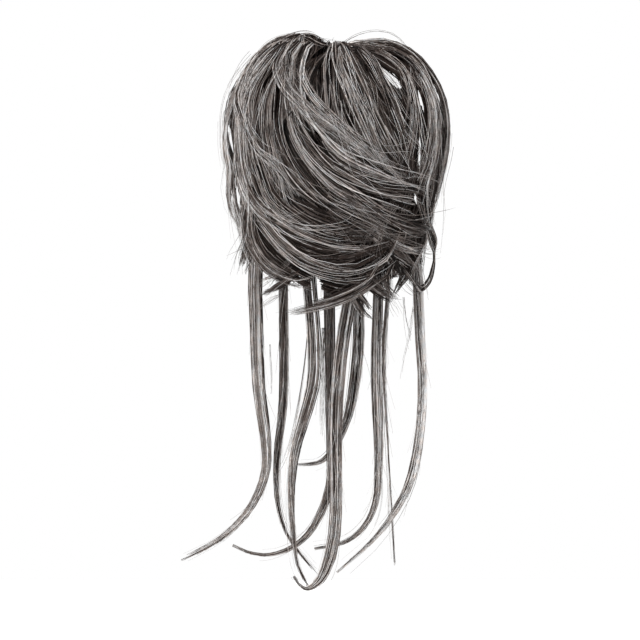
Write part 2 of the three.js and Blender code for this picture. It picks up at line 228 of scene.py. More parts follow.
# Locks whose roots are covered, with the same columns.
COVERED_LOCKS = (
    (2, 13, 6, 0.03, 120, ((-2, -90), (18, -105), (36, -118), (53, -127), (66, -130), (73, -130))),
    (2, 12, 6, 0.04, 110, ((-58, -100), (-58, -122), (-52, -142), (-40, -156), (-24, -165))),
    (3, 10, 5, 0.0, 100, ((0, -84), (20, -97), (40, -106), (58, -112), (70, -116))),
    (7, 16, 6, -0.04, 120, ((54, -108), (60, -128), (60, -146), (54, -162), (46, -174))),
    (5, 12, 5, 0.02, 100, ((66, -108), (67, -128), (63, -148), (58, -168))),
    (6, 20, 7, -0.04, 130, ((66, -108), (56, -128), (36, -146), (10, -153), (-16, -152))),
    (14, 36, 8, 0.0, 112, ((0, -60), (4, -100), (8, -140), (8, -176))),
    (14, 34, 8, 0.0, 104, ((38, -60), (42, -100), (42, -138), (36, -174))),
    (14, 34, 8, 0.0, 104, ((-38, -60), (-40, -100), (-36, -138), (-26, -172))),
    (12, 26, 7, 0.0, 112, ((60, -104), (58, -130), (52, -152), (42, -178))),
    (6, 20, 7, -0.06, 130, ((-44, -142), (-24, -158), (-1, -168), (21, -170), (42, -161))),
    (7, 24, 7, -0.06, 130, ((-56, -122), (-44, -142), (-28, -157), (-10, -166), (6, -168))),
    (5, 20, 7, -0.02, 150,
     ((-58, -92), (-52, -112), (-38, -130), (-16, -143), (8, -148), (30, -144), (46, -134))),
    (7, 22, 7, -0.06, 130, ((-40, -100), (-20, -118), (4, -127), (28, -130), (50, -128))),
    (9, 26, 7, -0.1, 120, ((66, -104), (54, -130), (36, -150), (12, -162), (-12, -164))),
    (2.5, 12, 5, 0.04, 90, ((-45, -65), (-42, -86), (-37, -108), (-25, -122))),
    (1, 5, 4, 0.1, 25, ((-22, -29), (-30, -43), (-37, -54), (-42, -68))),
    (1, 10, 5, 0.06, 90, ((16, -104), (36, -120), (54, -129), (66, -131), (72, -130))),
    # A dark lock over the loop's top: painted shade at the notch.
    (1, 6, 4, -0.24, 70, ((-34, 5), (-25, 8.5), (-15, 8.5), (-7, 5), (2, 3), (8, 1))),
    (4, 10, 5, 0.03, 70, ((-40, -50), (-37, -70), (-29, -88), (-15, -104), (4, -115), (20, -122))),
    (4.5, 8, 5, -0.06, 50, ((-4, 3), (-10, -6), (-12, -18), (-12, -32), (-9, -46))),
)

# The open curl at the lower right, with the same columns.
CURLS = (
    (1, 4, 3, 0.0, 80,
     ((62, -106), (67, -120), (71, -130), (73.5, -142), (73, -154), (70, -165), (65, -171), (59, -169),
      (53, -162), (44, -152), (40, -146))),
)

# Partings: middle across and height, half width, half length, lean in degrees from upright and depth under
# the form, in millimetres.
THROUGH = 1000
PARTINGS = (
    (44, -21, 2.9, 10, 50, THROUGH),
    (65, -38, 0.8, 9, 23, THROUGH),
    (77, -33, 0.9, 11, 23, THROUGH),
    (63.5, -75, 2.3, 11, 2, THROUGH),
    (61, -108, 1.1, 6, 15, THROUGH),
    (-72, -65, 1.3, 13, 11, THROUGH),
    (-66, -64, 0.9, 7, 14, THROUGH),
    (-66.5, -107, 2.5, 10, 6, THROUGH),
    (-10.5, -171, 3.0, 9, 8, THROUGH),
    (69.5, -149, 1.8, 11, -2, THROUGH),
    (44.6, -166, 1.3, 6, -65, THROUGH),
    (-47, -169, 1.8, 8, -50, THROUGH),
    (-8, -2, 1.6, 9, -59, 3),
    (42, -33, 2.0, 11, 30, 8),
    (-1, -15, 1.5, 10, 10, 5),
    (14, -119, 2.4, 9, 55, 8),
    (37, -159, 3.4, 8, -25, 10),
    (3, -137, 1.8, 8, 80, 7),
    (-9, -65, 1.6, 9, 15, 7),
    (-38, -48, 1.6, 9, 8, 7),
)
PARTING_REACH = 3.2
PARTING_FLOOR = 3.0
LEAST_GAP = 0.45
VIEWPOINT = (-7.9, -1600.0, -194.4)
SIGHT_ROUNDS = 3
DEPTH_ROUNDS = 2

# The notch in front of the loop and the lowered right side, with the heights and places between which each
# sets in, in millimetres.
SETTLED_TOP = 8.0
NOTCH_ACROSS = 5.0
NOTCH_WIDTH = 12.0
NOTCH_DEPTH = 7.0
NOTCH_BOTTOM = -14.0
RIGHT_DROP = 6.0
RIGHT_FROM = 6.0
RIGHT_TO = 30.0
RIGHT_BOTTOM = -40.0

# Long tendrils, left to right: the turn of the root, distance behind the loop's middle inside the crown, at
# the crown's bottom and at the tip, width, thickness, the share of the length that keeps its width, tone,
# hairs and the path as (across, height), in millimetres.
TENDRILS = (
    (-112, 19, 10, 4, 8.8, 4.2, 0.6, 0.04, 88,
     ((-54, -150), (-54, -202), (-52, -246), (-47, -280), (-47, -305), (-55, -326), (-66, -341),
      (-84, -356), (-108, -368))),
    (-135, 25, 16, 20, 5.0, 3.6, 0.6, -0.04, 62,
     ((-34, -160), (-34, -212), (-35, -258), (-39, -290), (-40, -316), (-36, -341), (-28, -358),
      (-10, -380))),
    (-78, 13, -6, -6, 8.2, 4.2, 0.58, 0.0, 82,
     ((-16, -160), (-12, -212), (-13, -241), (-20, -267), (-26, -288), (-29, -320), (-27, -353),
      (-24, -371), (-17, -385))),
    (-162, 20, 6, 4, 6.2, 3.6, 0.68, -0.08, 68,
     ((-1, -165), (0, -225), (1, -288), (0, -314), (-13, -345), (-27, -358), (-45, -364), (-60, -362),
      (-71, -357))),
    (178, 14, -3, 10, 8.2, 4.2, 0.88, -0.12, 92,
     ((15, -165), (8, -212), (4, -262), (4, -317), (3, -347), (-3, -373), (-10, -385), (-18, -389),
      (-24, -385), (-27, -380))),
    (156, 25, 18, 12, 6.4, 3.6, 0.7, -0.04, 64,
     ((20, -170), (20, -214), (17, -241), (12, -265), (4, -284), (-8, -297), (-24, -299))),
    (134, 19, 10, 20, 6.0, 4.0, 0.66, -0.1, 74,
     ((34, -160), (33, -212), (33, -241), (35, -290), (33, -326), (25, -344), (11, -356), (-12, -361))),
    (88, 13, 10, 8, 2.4, 2.2, 0.6, -0.12, 22,
     ((42, -160), (39, -212), (39, -240), (42, -295), (44, -335), (46, -372))),
    (110, 22, 4, -8, 5.4, 4.0, 0.76, 0.05, 72,
     ((61, -150), (64, -202), (66, -240), (63, -281), (55, -314), (42, -337), (27, -355), (4, -375))),
)
HANGING_HEIGHT = -70
STRAIGHT_DROP = 8
CLEARANCE = 0.35

# Single hairs and thin wisps: hairs in each, how far they spread, depth behind the loop's middle and path.
WISPS = (
    (3, 1.2, -12, ((8, 3), (18, 9), (32, 12), (45, 9), (57, -4), (66, -18))),
    (4, 1.2, -8, ((-36, 5), (-28, 11), (-17, 12.5), (-7, 8))),
    (4, 1.4, -8, ((-56, -8), (-46, 4), (-34, 9.5), (-20, 11))),
    (1, 0.3, -14, ((2, 3), (1, 6), (3, 8.5))),
    (1, 0.3, -14, ((0, 3), (-3, 5), (-7, 6))),
    (7, 1.0, 8, ((-16, -195), (-19.5, -230), (-24, -259), (-29, -283), (-35, -299), (-43, -311))),
    (4, 2.5, 2, ((52, -178), (54, -194), (57, -206), (60, -216))),
    (3, 2.0, 2, ((60, -185), (57, -205), (53, -225), (51, -240))),
    (16, 4.5, 4, ((-5, -200), (-5, -235), (-6, -262), (-5, -284))),
    (3, 1.5, 4, ((-44, -212), (-43, -235), (-44, -255))),
)

# Thin wisps that lie on the crown: hairs in each, how far they spread, and the path.
CROWN_WISPS = (
    (12, 5.0, ((44, -134), (57, -140), (69, -145), (78, -143))),
    (10, 6.0, ((30, -124), (44, -138), (56, -152), (64, -168))),
    (8, 4.0, ((20, -112), (36, -130), (52, -136), (70, -132))),
    (8, 5.0, ((-58, -118), (-62, -134), (-66, -150), (-68, -164))),
    (8, 5.0, ((-28, -150), (-40, -160), (-50, -168), (-56, -172))),
    (7, 4.0, ((26, -160), (38, -172), (46, -184), (50, -192))),
    (9, 3.0, ((28, -6), (40, -18), (50, -30), (57, -46))),
    (7, 2.0, ((57, -54), (63, -68), (65, -80), (62, -94))),
    (14, 9.0, ((-2, -116), (16, -128), (34, -140), (52, -148))),
    (12, 8.0, ((46, -110), (36, -126), (29, -142), (30, -158))),
    (10, 8.0, ((8, -104), (26, -122), (40, -132), (58, -134))),
    (6, 3.0, ((-36, -176), (-44, -180), (-52, -186), (-58, -192))),
)

# Smooth paths: steps between two given points, points in all and the power of a length that times it.
PATH_STEPS = 40
PATH_POINTS = 200
PATH_TIMING = 0.5
BEND_EVENNESS = 0.8
TINY = 1e-9
SLIGHT = 1e-6

# Points along one hair of each kind, the sides of its tube and how flat it is.
CROWN_POINTS = 18
SHORT_POINTS = 12
CURL_POINTS = 24
CORE_POINTS = 10
HIDDEN_POINTS = 13
TENDRIL_POINTS = 28
FLYAWAY_POINTS = 11
HAIR_SIDES = 3
HAIR_FLATNESS = 0.7
CORE_FLATNESS = 0.5
ROUND = 1.0

# Tapers: the share of the width at the root, the share of the length up to which a lock stays full, and the
# share of the width at the tip. All locks are full from the same share of their length.
FALLING_TAPER = (0.45, 0.74, 0.6)
SWEPT_TAPER = (0.45, 0.7, 0.5)
SHORT_TAPER = (0.6, 0.7, 0.6)
WISP_TAPER = (0.5, 0.8, 0.6)
TENDRIL_ROOT_SHARE = 0.5
TENDRIL_TIP_SHARE = 0.15
FULL_FROM = 0.22

# The thin strips of a lock: width in millimetres, and how they vary, wander and draw together.
STRIP_WIDTH = 1.7
LEAST_STRIPS = 2
STRIP_UNEVENNESS = 0.3
STRIP_CONTRAST = 0.55
STRIP_DEPTH = 0.55
STRIP_TURNS = (0.4, 1.1)
STRIP_LIFT = 0.4
FREE_FROM = 0.05
FREE_TO = 0.6
DRAWN_FROM = 0.35
DRAWN_TOGETHER = 0.35

# The hairs of a strip: how they lie in it, wave, stray, narrow and differ in tone, with painted shade that
# makes the hairs lower in a lock darker.
LEAST_HAIRS = 4
HAIR_SCATTER = 0.75
HAIR_SCATTER_LIMIT = 1.5
LONGEST_HAIR = 1.03
HAIR_DEPTHS = (-0.55, 0.45)
HAIR_WIDTHS = (0.7, 1.35)
WAVE_AT_ROOT = 0.2
WAVE_TURNS = (0.8, 2.6)
WAVE_STARTS = (0.0, 6.3)
WAVE_LIFT = 0.5
STRAY_FROM = 0.15
STRAY_CURVES = (0.8, 2.2)
STRAY_LIFT = 0.12
STRAY_WIDTH = 0.6
STRAY_TONE = 0.15
TIP_FROM = 0.75
TIP_NARROWING = 0.7
LOWER_HAIR_SHADE = 0.8
HAIR_CONTRAST = 0.9
TONE_LIMITS = (0.02, 0.98)

# Hair deep in the crown is painted darker and more even: painted shade, where little light reaches.
DEEP = 14
DEEP_PAINTED_SHADE = 0.22
DEEP_SHADE_EVENNESS = 0.55

# Wide dark strands in the middle of the wide locks: painted shade in the depths of each lock.
LEAST_CORED_WIDTH = 11
CORES_PER_WIDTH = 0.55
CORE_WIDTH = 1.4
CORE_WIDTHS = (0.7, 1.2)
CORE_ENDS = (0.72, 0.9)
CORE_SPREAD = 0.42
CORE_UNEVENNESS = 0.05
CORE_LIFTS = (-0.6, -0.3)
CORE_NARROWING = 1.2
CORE_SHADE_TONES = (0.0, 0.14)

# Hairs end in the tapering part of a tendril.
TENDRIL_SHORTENING = 0.11
TENDRIL_FRAY = 0.09

# Loose hairs over the crown: from how many of the left and lower sweeps, where they leave them and how far
# they swing, in millimetres.
OPEN_LEFT_SWEEPS = 9
OPEN_LOWER_SWEEPS = 4
BACK_FLYAWAYS = 130
FLYAWAY_STARTS = (0.12, 0.75)
FLYAWAY_LENGTHS = (0.12, 0.4)
FLYAWAY_CURVE = 1.5
FLYAWAY_SWINGS = (3.0, 11.0)
WIDEST_SWING = 20.0
FRONT_LIFTS = (1.5, 4.0)
BACK_LIFTS = (3.0, 7.0)
FLYAWAY_TONES = (0.2, 0.95)
FLYAWAY_WIDTHS = (0.8, 1.2)
FLYAWAY_NARROWING = 0.6

# Loose hairs beside each tendril.
TENDRIL_STRAYS = 46
SIDE_STARTS = (0.35, 0.85)
SIDE_LENGTHS = (0.04, 0.12)
SIDE_SWING = 3.2
SIDE_LIFTS = (0.0, 1.5)
SIDE_TONES = (0.4, 0.9)
SIDE_NARROWING = 0.5

# The hairs of a wisp.
WISP_SINK = -1.5
WISP_ENDS = (0.7, 1.0)
WISP_WAVES = (3.0, 8.0)
WISP_WAVE = 0.25
WISP_AT_ROOT = 0.3
WISP_DEPTH = 0.3
WISP_TONES = (0.25, 0.6)
WISP_NARROWING = 0.5

# Which run of random numbers each part draws from. The crown's pieces have the first ones, in their order.
RUNS_PER_SEED = 1000
FLYAWAY_RUN = 10
CORE_RUN = 11
TENDRIL_RUN = 20

# Strips of the UV map, one for each hair: length to width, and the share of its place that a strip fills.
UV_PROPORTION = 12
UV_SIDES = (0.12, 0.88)
UV_ENDS = (0.04, 0.96)

# The hair's finish: noise scales for each metre, how far each noise moves the tone, the tones of the colours,
# relief, roughness and the lift of each kind of hair.
PATCH_SCALE = 90.0
SPECK_SCALE = 700.0
HUE_SCALE = 220.0
RIDGE_SCALE = 1800.0
COARSE_DETAIL = 2.0
FINE_DETAIL = 1.0
MIDDLE_NOISE = 0.5
PATCH_SHARE = 0.34
SPECK_SHARE = 0.24
TIP_LIGHT = 0.06
ROOT_SHADE = 0.14
ROOT_FADE = 9.0
HUE_CONTRAST = 2.4
TONE_STOPS = (0.0, 0.27, 0.52, 0.78, 1.0)
WARM_TINT = (1.05, 0.992, 0.955)
COOL_TINT = (0.955, 1.0, 1.035)
RIDGE_STRENGTH = 0.12
RIDGE_HEIGHT = 0.0004
HAIR_SMOOTHEST = 0.42
PATCH_ROUGHNESS = 0.16
HAIR_SHINE = 0.12
CROWN_LIFT = -0.012
FLYAWAY_LIFT = 0.1
TENDRIL_LIFT = 0.025
NO_LIFT = 0.0

# The finishes of the elastic, the weft band and the floor: noise scale, relief, stops of the two colours,
# roughness and how much lighter the knit's second colour is.
KNIT_SCALE = 2600.0
KNIT_STRENGTH = 0.5
KNIT_STOPS = (0.3, 0.75)
KNIT_SMOOTHEST = 0.75
KNIT_LIGHTNESS = 3.0
RIB_SCALE = 1500.0
RIB_STRENGTH = 0.4
RIB_STOPS = (0.3, 0.8)
RIB_SMOOTHEST = 0.7
TAPE_HEIGHT = 0.0003
TAPE_ROUGHNESS = 0.2
FLOOR_ROUGHNESS = 0.9

# The stage in metres: the floor, the lights as name, place, size and power in watts, and the lens in
# millimetres.
FLOOR_SIZE = 1.5
FLOOR_HEIGHT = -0.47
LAMPS = (
    ("key_light", (-0.9, -1.3, 0.9), 0.7, 34.0),
    ("top_light", (0.1, -0.2, 1.3), 0.8, 3.0),
    ("back_light", (0.5, 1.5, 0.3), 1.2, 16.0),
)
LAMP_AIM = (0.0, 0.0, -0.1)
WHITE = (1.0, 1.0, 1.0, 1.0)
LENS = 125.0
SENSOR_WIDTH = 36.0


class HairpieceSettings(bpy.types.PropertyGroup):
    """What a user would change on the hairpiece."""

    hair_width: bpy.props.FloatProperty(
        name="Hair width", description="Width of one drawn strand", default=0.56 * MM,
        unit="LENGTH", precision=5)
    flyaway_width: bpy.props.FloatProperty(
        name="Flyaway width", description="Width of a loose single hair", default=0.27 * MM,
        unit="LENGTH", precision=5)
    flyaways: bpy.props.IntProperty(
        name="Flyaways", description="Loose single hairs over the crown", default=980, min=0)
    density: bpy.props.FloatProperty(
        name="Density", description="Share of the usual number of hairs", default=1.0, min=0.1, max=1.0)
    seed: bpy.props.IntProperty(name="Seed", description="Which of many like pieces is made", default=7)
    dark_hair: bpy.props.FloatVectorProperty(
        name="Dark hair", description="The darkest hairs", subtype="COLOR", default=(0.003, 0.0019, 0.0015))
    brown_hair: bpy.props.FloatVectorProperty(
        name="Brown grey hair", description="Dark warm grey hairs", subtype="COLOR",
        default=(0.023, 0.0145, 0.0112))
    grey_hair: bpy.props.FloatVectorProperty(
        name="Grey hair", description="Middle grey hairs", subtype="COLOR", default=(0.095, 0.079, 0.072))
    light_hair: bpy.props.FloatVectorProperty(
        name="Light hair", description="Light grey hairs", subtype="COLOR", default=(0.33, 0.298, 0.28))
    white_hair: bpy.props.FloatVectorProperty(
        name="White hair", description="The whitest hairs", subtype="COLOR", default=(0.69, 0.677, 0.668))
    elastic_colour: bpy.props.FloatVectorProperty(
        name="Elastic", description="Covered elastic", subtype="COLOR", default=(0.018, 0.015, 0.015))
    floor_colour: bpy.props.FloatVectorProperty(
        name="Floor", description="Pale studio floor", subtype="COLOR", default=(0.93, 0.93, 0.93))


def settings():
    """The chosen sizes and colours."""
    return bpy.context.scene.hairpiece


class Value:
    """A number socket of a material, so that sums are written as Python."""

    def __init__(self, finish, socket):
        self.finish = finish
        self.socket = socket

    def math(self, operation, first, second):
        """One sum of two numbers or sockets."""
        return self.finish.node("ShaderNodeMath", {"operation": operation}, {0: first, 1: second}, "Value")

    def __add__(self, other):
        return self.math("ADD", self, other)

    __radd__ = __add__

    def __sub__(self, other):
        return self.math("SUBTRACT", self, other)

    def __rsub__(self, other):
        return self.math("SUBTRACT", other, self)

    def __mul__(self, other):
        return self.math("MULTIPLY", self, other)

    __rmul__ = __mul__

    def above(self, least):
        """The larger of this number and a least one."""
        return self.math("MAXIMUM", self, least)


class Finish:
    """A material and its nodes."""

    def __init__(self, name):
        self.material = bpy.data.materials.new(name)
        self.material.use_nodes = True
        self.tree = self.material.node_tree
        self.shader = self.tree.nodes["Principled BSDF"]

    def node(self, kind, choices, inputs, output):
        """Adds a node with its choices and inputs, and gives one of its outputs."""
        made = self.tree.nodes.new(kind)
        for name, choice in choices.items():
            if name == "stops":
                self.set_stops(made.color_ramp.elements, choice)
            else:
                setattr(made, name, choice)
        self.feed(made, inputs)
        return Value(self, made.outputs[output])

    def set_stops(self, elements, stops):
        """Sets a ramp's stops of place and colour."""
        while len(elements) < len(stops):
            elements.new(1.0)
        for element, (place, colour) in zip(elements, stops):
            element.position = place
            element.color = (*colour, 1.0)

    def feed(self, made, inputs):
        """Sets or links a node's sockets."""
        for name, given in inputs.items():
            if isinstance(given, Value):
                self.tree.links.new(given.socket, made.inputs[name])
            else:
                made.inputs[name].default_value = given

    def ramp(self, factor, stops):
        """Colour by a number, through stops of place and colour."""
        return self.node("ShaderNodeValToRGB", {"stops": stops}, {"Fac": factor}, "Color")

    def attribute(self, name):
        """A number that each point of the mesh holds."""
        return self.node("ShaderNodeAttribute", {"attribute_name": name}, {}, "Fac")

    def noise(self, scale, detail):
        """Cloudy noise in the piece's own space."""
        place = self.node("ShaderNodeTexCoord", {}, {}, "Object")
        inputs = {"Vector": place, "Scale": scale, "Detail": detail}
        return self.node("ShaderNodeTexNoise", {"noise_dimensions": "3D"}, inputs, "Fac")

    def mix(self, share, first, second):
        """One colour or another, by a share."""
        factor, colour_a, colour_b, result = 0, 6, 7, 2
        inputs = {factor: share, colour_a: first, colour_b: second}
        return self.node("ShaderNodeMix", {"data_type": "RGBA"}, inputs, result)

    def bump(self, height, strength, distance):
        """A relief from a height."""
        inputs = {"Height": height, "Strength": strength, "Distance": distance}
        return self.node("ShaderNodeBump", {}, inputs, "Normal")


def tinted_stops(colours, tint):
    """The hair's colours at their tones, tinted."""
    return [(place, tuple(channel * share for channel, share in zip(colour, tint)))
            for place, colour in zip(TONE_STOPS, colours)]


def hair_finish(name, lift):
    """Salt and pepper false hair: a tone for each hair, slow changes along it and a satin shine."""
    chosen = settings()
    colours = (chosen.dark_hair, chosen.brown_hair, chosen.grey_hair, chosen.light_hair, chosen.white_hair)
    finish = Finish(name)
    tone = finish.attribute("tone")
    along = finish.attribute("along")
    patches = finish.noise(PATCH_SCALE, COARSE_DETAIL)
    specks = finish.noise(SPECK_SCALE, FINE_DETAIL)
    root_shade = ROOT_SHADE * (1.0 - ROOT_FADE * along).above(0.0)
    grain = tone + (patches - MIDDLE_NOISE) * PATCH_SHARE + (specks - MIDDLE_NOISE) * SPECK_SHARE
    grain = grain + along * TIP_LIGHT + lift - root_shade
    warm = finish.ramp(grain, tinted_stops(colours, WARM_TINT))
    cool = finish.ramp(grain, tinted_stops(colours, COOL_TINT))
    hue = (finish.noise(HUE_SCALE, FINE_DETAIL) - MIDDLE_NOISE) * HUE_CONTRAST + MIDDLE_NOISE
    ridges = finish.noise(RIDGE_SCALE, FINE_DETAIL)
    finish.feed(finish.shader, {
        "Base Color": finish.mix(hue, warm, cool),
        "Roughness": HAIR_SMOOTHEST + PATCH_ROUGHNESS * patches,
        "Specular IOR Level": HAIR_SHINE,
        "Normal": finish.bump(ridges, RIDGE_STRENGTH, RIDGE_HEIGHT),
    })
    return finish.material


def tape_finish(name, scale, strength, smoothest, stops, colours):
    """A dark textile, with its colour, roughness and relief from one fine noise."""
    finish = Finish(name)
    weave = finish.noise(scale, COARSE_DETAIL)
    finish.feed(finish.shader, {
        "Base Color": finish.ramp(weave, list(zip(stops, colours))),
        "Roughness": smoothest + TAPE_ROUGHNESS * weave,
        "Normal": finish.bump(weave, strength, TAPE_HEIGHT),
    })
    return finish.material


def elastic_finish():
    """Dark covered elastic with a fine knit."""
    dark = settings().elastic_colour
    colours = (dark, tuple(KNIT_LIGHTNESS * channel for channel in dark))
    return tape_finish("covered_elastic", KNIT_SCALE, KNIT_STRENGTH, KNIT_SMOOTHEST, KNIT_STOPS, colours)


def weft_finish():
    """Dark folded tape with a fine rib."""
    colours = (settings().dark_hair, settings().brown_hair)
    return tape_finish("weft_tape", RIB_SCALE, RIB_STRENGTH, RIB_SMOOTHEST, RIB_STOPS, colours)


def floor_finish():
    """Pale paper floor."""
    finish = Finish("pale_floor")
    colour = (*settings().floor_colour, 1.0)
    finish.feed(finish.shader, {"Base Color": colour, "Roughness": FLOOR_ROUGHNESS})
    return finish.material


def unit(vectors):
    """Vectors brought to a length of 1."""
    return vectors / np.maximum(np.linalg.norm(vectors, axis=-1, keepdims=True), TINY)


def eased(values, low, high):
    """A smooth step from 0 at low to 1 at high."""
    share = np.clip((values - low) / (high - low), 0.0, 1.0)
    return share * share * (3.0 - 2.0 * share)


def steady(directions):
    """Directions along a line, turned about where they flip, so that they agree with the last one."""
    agrees = np.where(np.sum(directions[1:] * directions[:-1], axis=1) < 0, -1.0, 1.0)
    return directions * np.concatenate([np.cumprod(agrees[::-1])[::-1], [1.0]])[:, None]


def smooth_path(points):
    """Evenly spaced points along a smooth curve through the given points."""
    given = np.asarray(points, float)
    knots = np.vstack([2 * given[0] - given[1], given, 2 * given[-1] - given[-2]])
    spans = np.linalg.norm(np.diff(knots, axis=0), axis=1)
    times = np.concatenate([[0.0], np.cumsum(spans ** PATH_TIMING)])
    dense = []
    for i in range(1, len(knots) - 2):
        t0, t1, t2, t3 = times[i - 1:i + 3]
        t = np.linspace(t1, t2, PATH_STEPS)[:, None]
        a = ((t1 - t) * knots[i - 1] + (t - t0) * knots[i]) / (t1 - t0)
        b = ((t2 - t) * knots[i] + (t - t1) * knots[i + 1]) / (t2 - t1)
        c = ((t3 - t) * knots[i + 1] + (t - t2) * knots[i + 2]) / (t3 - t2)
        d = ((t2 - t) * a + (t - t0) * b) / (t2 - t0)
        e = ((t3 - t) * b + (t - t1) * c) / (t3 - t1)
        dense.append(((t2 - t) * d + (t - t1) * e) / (t2 - t1))
    curve = np.vstack(dense)
    lengths = np.concatenate([[0.0], np.cumsum(np.linalg.norm(np.diff(curve, axis=0), axis=1))])
    even = np.linspace(0.0, lengths[-1], PATH_POINTS)
    return np.stack([np.interp(even, lengths, curve[:, axis]) for axis in range(3)], axis=1)


def crown_section(height):
    """The crown's half widths at a height."""
    table = np.array(CROWN_SECTIONS[::-1], float)
    return [np.interp(height, table[:, 0], table[:, side]) for side in range(1, 5)]


def layer_depth(height, sink):
    """How deep a layer lies at a height: less towards the top, where all the hair comes together."""
    share = np.clip((LAYER_TOP - height) / (LAYER_TOP - LAYER_FULL), LEAST_LAYER, 1.0)
    return sink * share


def form_point(turn, height, sink):
    """The point of the crown's form at a turn and height, sunk under it."""
    left, right, front, back = crown_section(height)
    angle = math.radians(turn)
    side = left if math.sin(angle) < 0 else right
    depth = front if math.cos(angle) > 0 else back
    layer = layer_depth(height, sink)
    return ((side - layer) * math.sin(angle), (layer - depth) * math.cos(angle), height)


def front_point(across, height, sink):
    """The point of the crown's front that is seen at a place from the viewpoint."""
    point = (across, 0.0, height)
    for _ in range(SIGHT_ROUNDS):
        farness = 1.0 - point[1] / VIEWPOINT[1]
        x = VIEWPOINT[0] + (across - VIEWPOINT[0]) * farness
        z = VIEWPOINT[2] + (height - VIEWPOINT[2]) * farness
        left, right, _, _ = crown_section(z)
        side = (left if x < 0 else right) - layer_depth(z, sink)
        turn = math.degrees(math.asin(max(-1.0, min(1.0, x / side))))
        point = (x, *form_point(turn, z, sink)[1:])
    return point


def weft_point(turn, height):
    """The point in the middle of the weft band's wall at a turn and height."""
    angle = math.radians(turn)
    return (WEFT_MIDDLE * math.sin(angle), -WEFT_MIDDLE * math.cos(angle), height)


def out_of_crown(points):
    """Which way is out of the crown at each point."""
    away = points * np.array([1.0, DEPTH_WEIGHT, 1.0])
    away[..., 2] -= CROWN_MIDDLE
    return unit(away)


def on_the_front(points, lift):
    """Points brought to the crown's front, a little off it."""
    left, right, front, _ = crown_section(points[..., 2])
    side = np.where(points[..., 0] < 0, left, right) + lift
    share = np.clip(points[..., 0] / side, -1.0, 1.0)
    moved = points.copy()
    moved[..., 1] = -(front + lift) * np.sqrt(1.0 - share ** 2)
    return moved


def to_the_front(points):
    """The way to the front, at each point."""
    return np.broadcast_to(np.array([0.0, -1.0, 0.0]), points.shape)


def seen(points):
    """Points as (across, height) from the viewpoint, and how much farther than the loop each one is."""
    farness = 1.0 - points[..., 1] / VIEWPOINT[1]
    across = VIEWPOINT[0] + (points[..., 0] - VIEWPOINT[0]) / farness
    height = VIEWPOINT[2] + (points[..., 2] - VIEWPOINT[2]) / farness
    return across, height, farness


def beside_parting(row, across, height):
    """How far places are to the right of a parting's middle line, its half width there and its lean."""
    middle_across, middle_height, half_width, half_length, lean, _ = row
    angle = math.radians(lean)
    x = across - middle_across
    z = height - middle_height
    aside = x * math.cos(angle) + z * math.sin(angle)
    down = z * math.cos(angle) - x * math.sin(angle)
    return aside, half_width * np.clip(1.0 - (down / half_length) ** 2, 0.0, 1.0), angle


def settled(points):
    """Points of falling hair in millimetres, lowered at the notch in front of the loop and on the right."""
    moved = points.copy()
    notch = np.exp(-((moved[..., 0] - NOTCH_ACROSS) / NOTCH_WIDTH) ** 2)
    moved[..., 2] -= NOTCH_DEPTH * notch * eased(moved[..., 2], NOTCH_BOTTOM, SETTLED_TOP)
    right = RIGHT_DROP * eased(moved[..., 0], RIGHT_FROM, RIGHT_TO)
    moved[..., 2] -= right * eased(moved[..., 2], RIGHT_BOTTOM, SETTLED_TOP)
    return moved


def reached(row, points):
    """How fully a parting reaches down to points under the form."""
    depth = points[..., 1] - on_the_front(points, 0.0)[..., 1]
    return 1.0 - eased(depth, row[-1], row[-1] + PARTING_FLOOR)


def opened(points):
    """Crown points in millimetres with the hair parted along the lines of sight."""
    moved = points.copy()
    for row in PARTINGS:
        across, height, farness = seen(moved)
        aside, gap, angle = beside_parting(row, across, height)
        gap = gap * reached(row, moved)
        reach = PARTING_REACH * gap + SLIGHT
        near = np.abs(aside)
        pushed = np.where(near < reach, gap + near * (1.0 - gap / reach), near) - near
        push = pushed * np.where(aside < 0, -1.0, 1.0) * farness
        moved[..., 0] += push * math.cos(angle)
        moved[..., 2] += push * math.sin(angle)
    return moved


def stretch_of(values, first, last):
    """A row of values for each hair, read afresh between two of its points."""
    points = values.shape[1]
    place = first[:, None] + (last - first)[:, None] * np.linspace(0.0, 1.0, points)[None, :]
    below = np.minimum(place.astype(int), points - 2)
    share = (place - below).reshape(place.shape + (1,) * (values.ndim - 2))
    hair = np.arange(len(values))[:, None]
    return values[hair, below] * (1.0 - share) + values[hair, below + 1] * share


def ended_at_partings(lines, facing, widths):
    """Hairs that would cross a parting, cut there to their longer part."""
    last_point = lines.shape[1] - 1
    for row in PARTINGS:
        across, height, _ = seen(lines)
        aside, _, _ = beside_parting(row, across, height)
        near = np.abs(aside)
        share = near[:, :-1] / np.maximum(near[:, :-1] + near[:, 1:], SLIGHT)
        met = lines[:, :-1] + share[..., None] * np.diff(lines, axis=1)
        met_across, met_height, _ = seen(met)
        _, gap, _ = beside_parting(row, met_across, met_height)
        crossing = (aside[:, :-1] * aside[:, 1:] < 0) & (gap * reached(row, met) > LEAST_GAP)
        crosses = crossing.any(axis=1)
        before = crossing.argmax(axis=1)
        keeps_root = before > last_point / 2
        first = np.where(crosses & ~keeps_root, before + 1.0, 0.0)
        last = np.where(crosses & keeps_root, before, float(last_point))
        lines, facing, widths = (stretch_of(part, first, last) for part in (lines, facing, widths))
    return lines, facing, widths


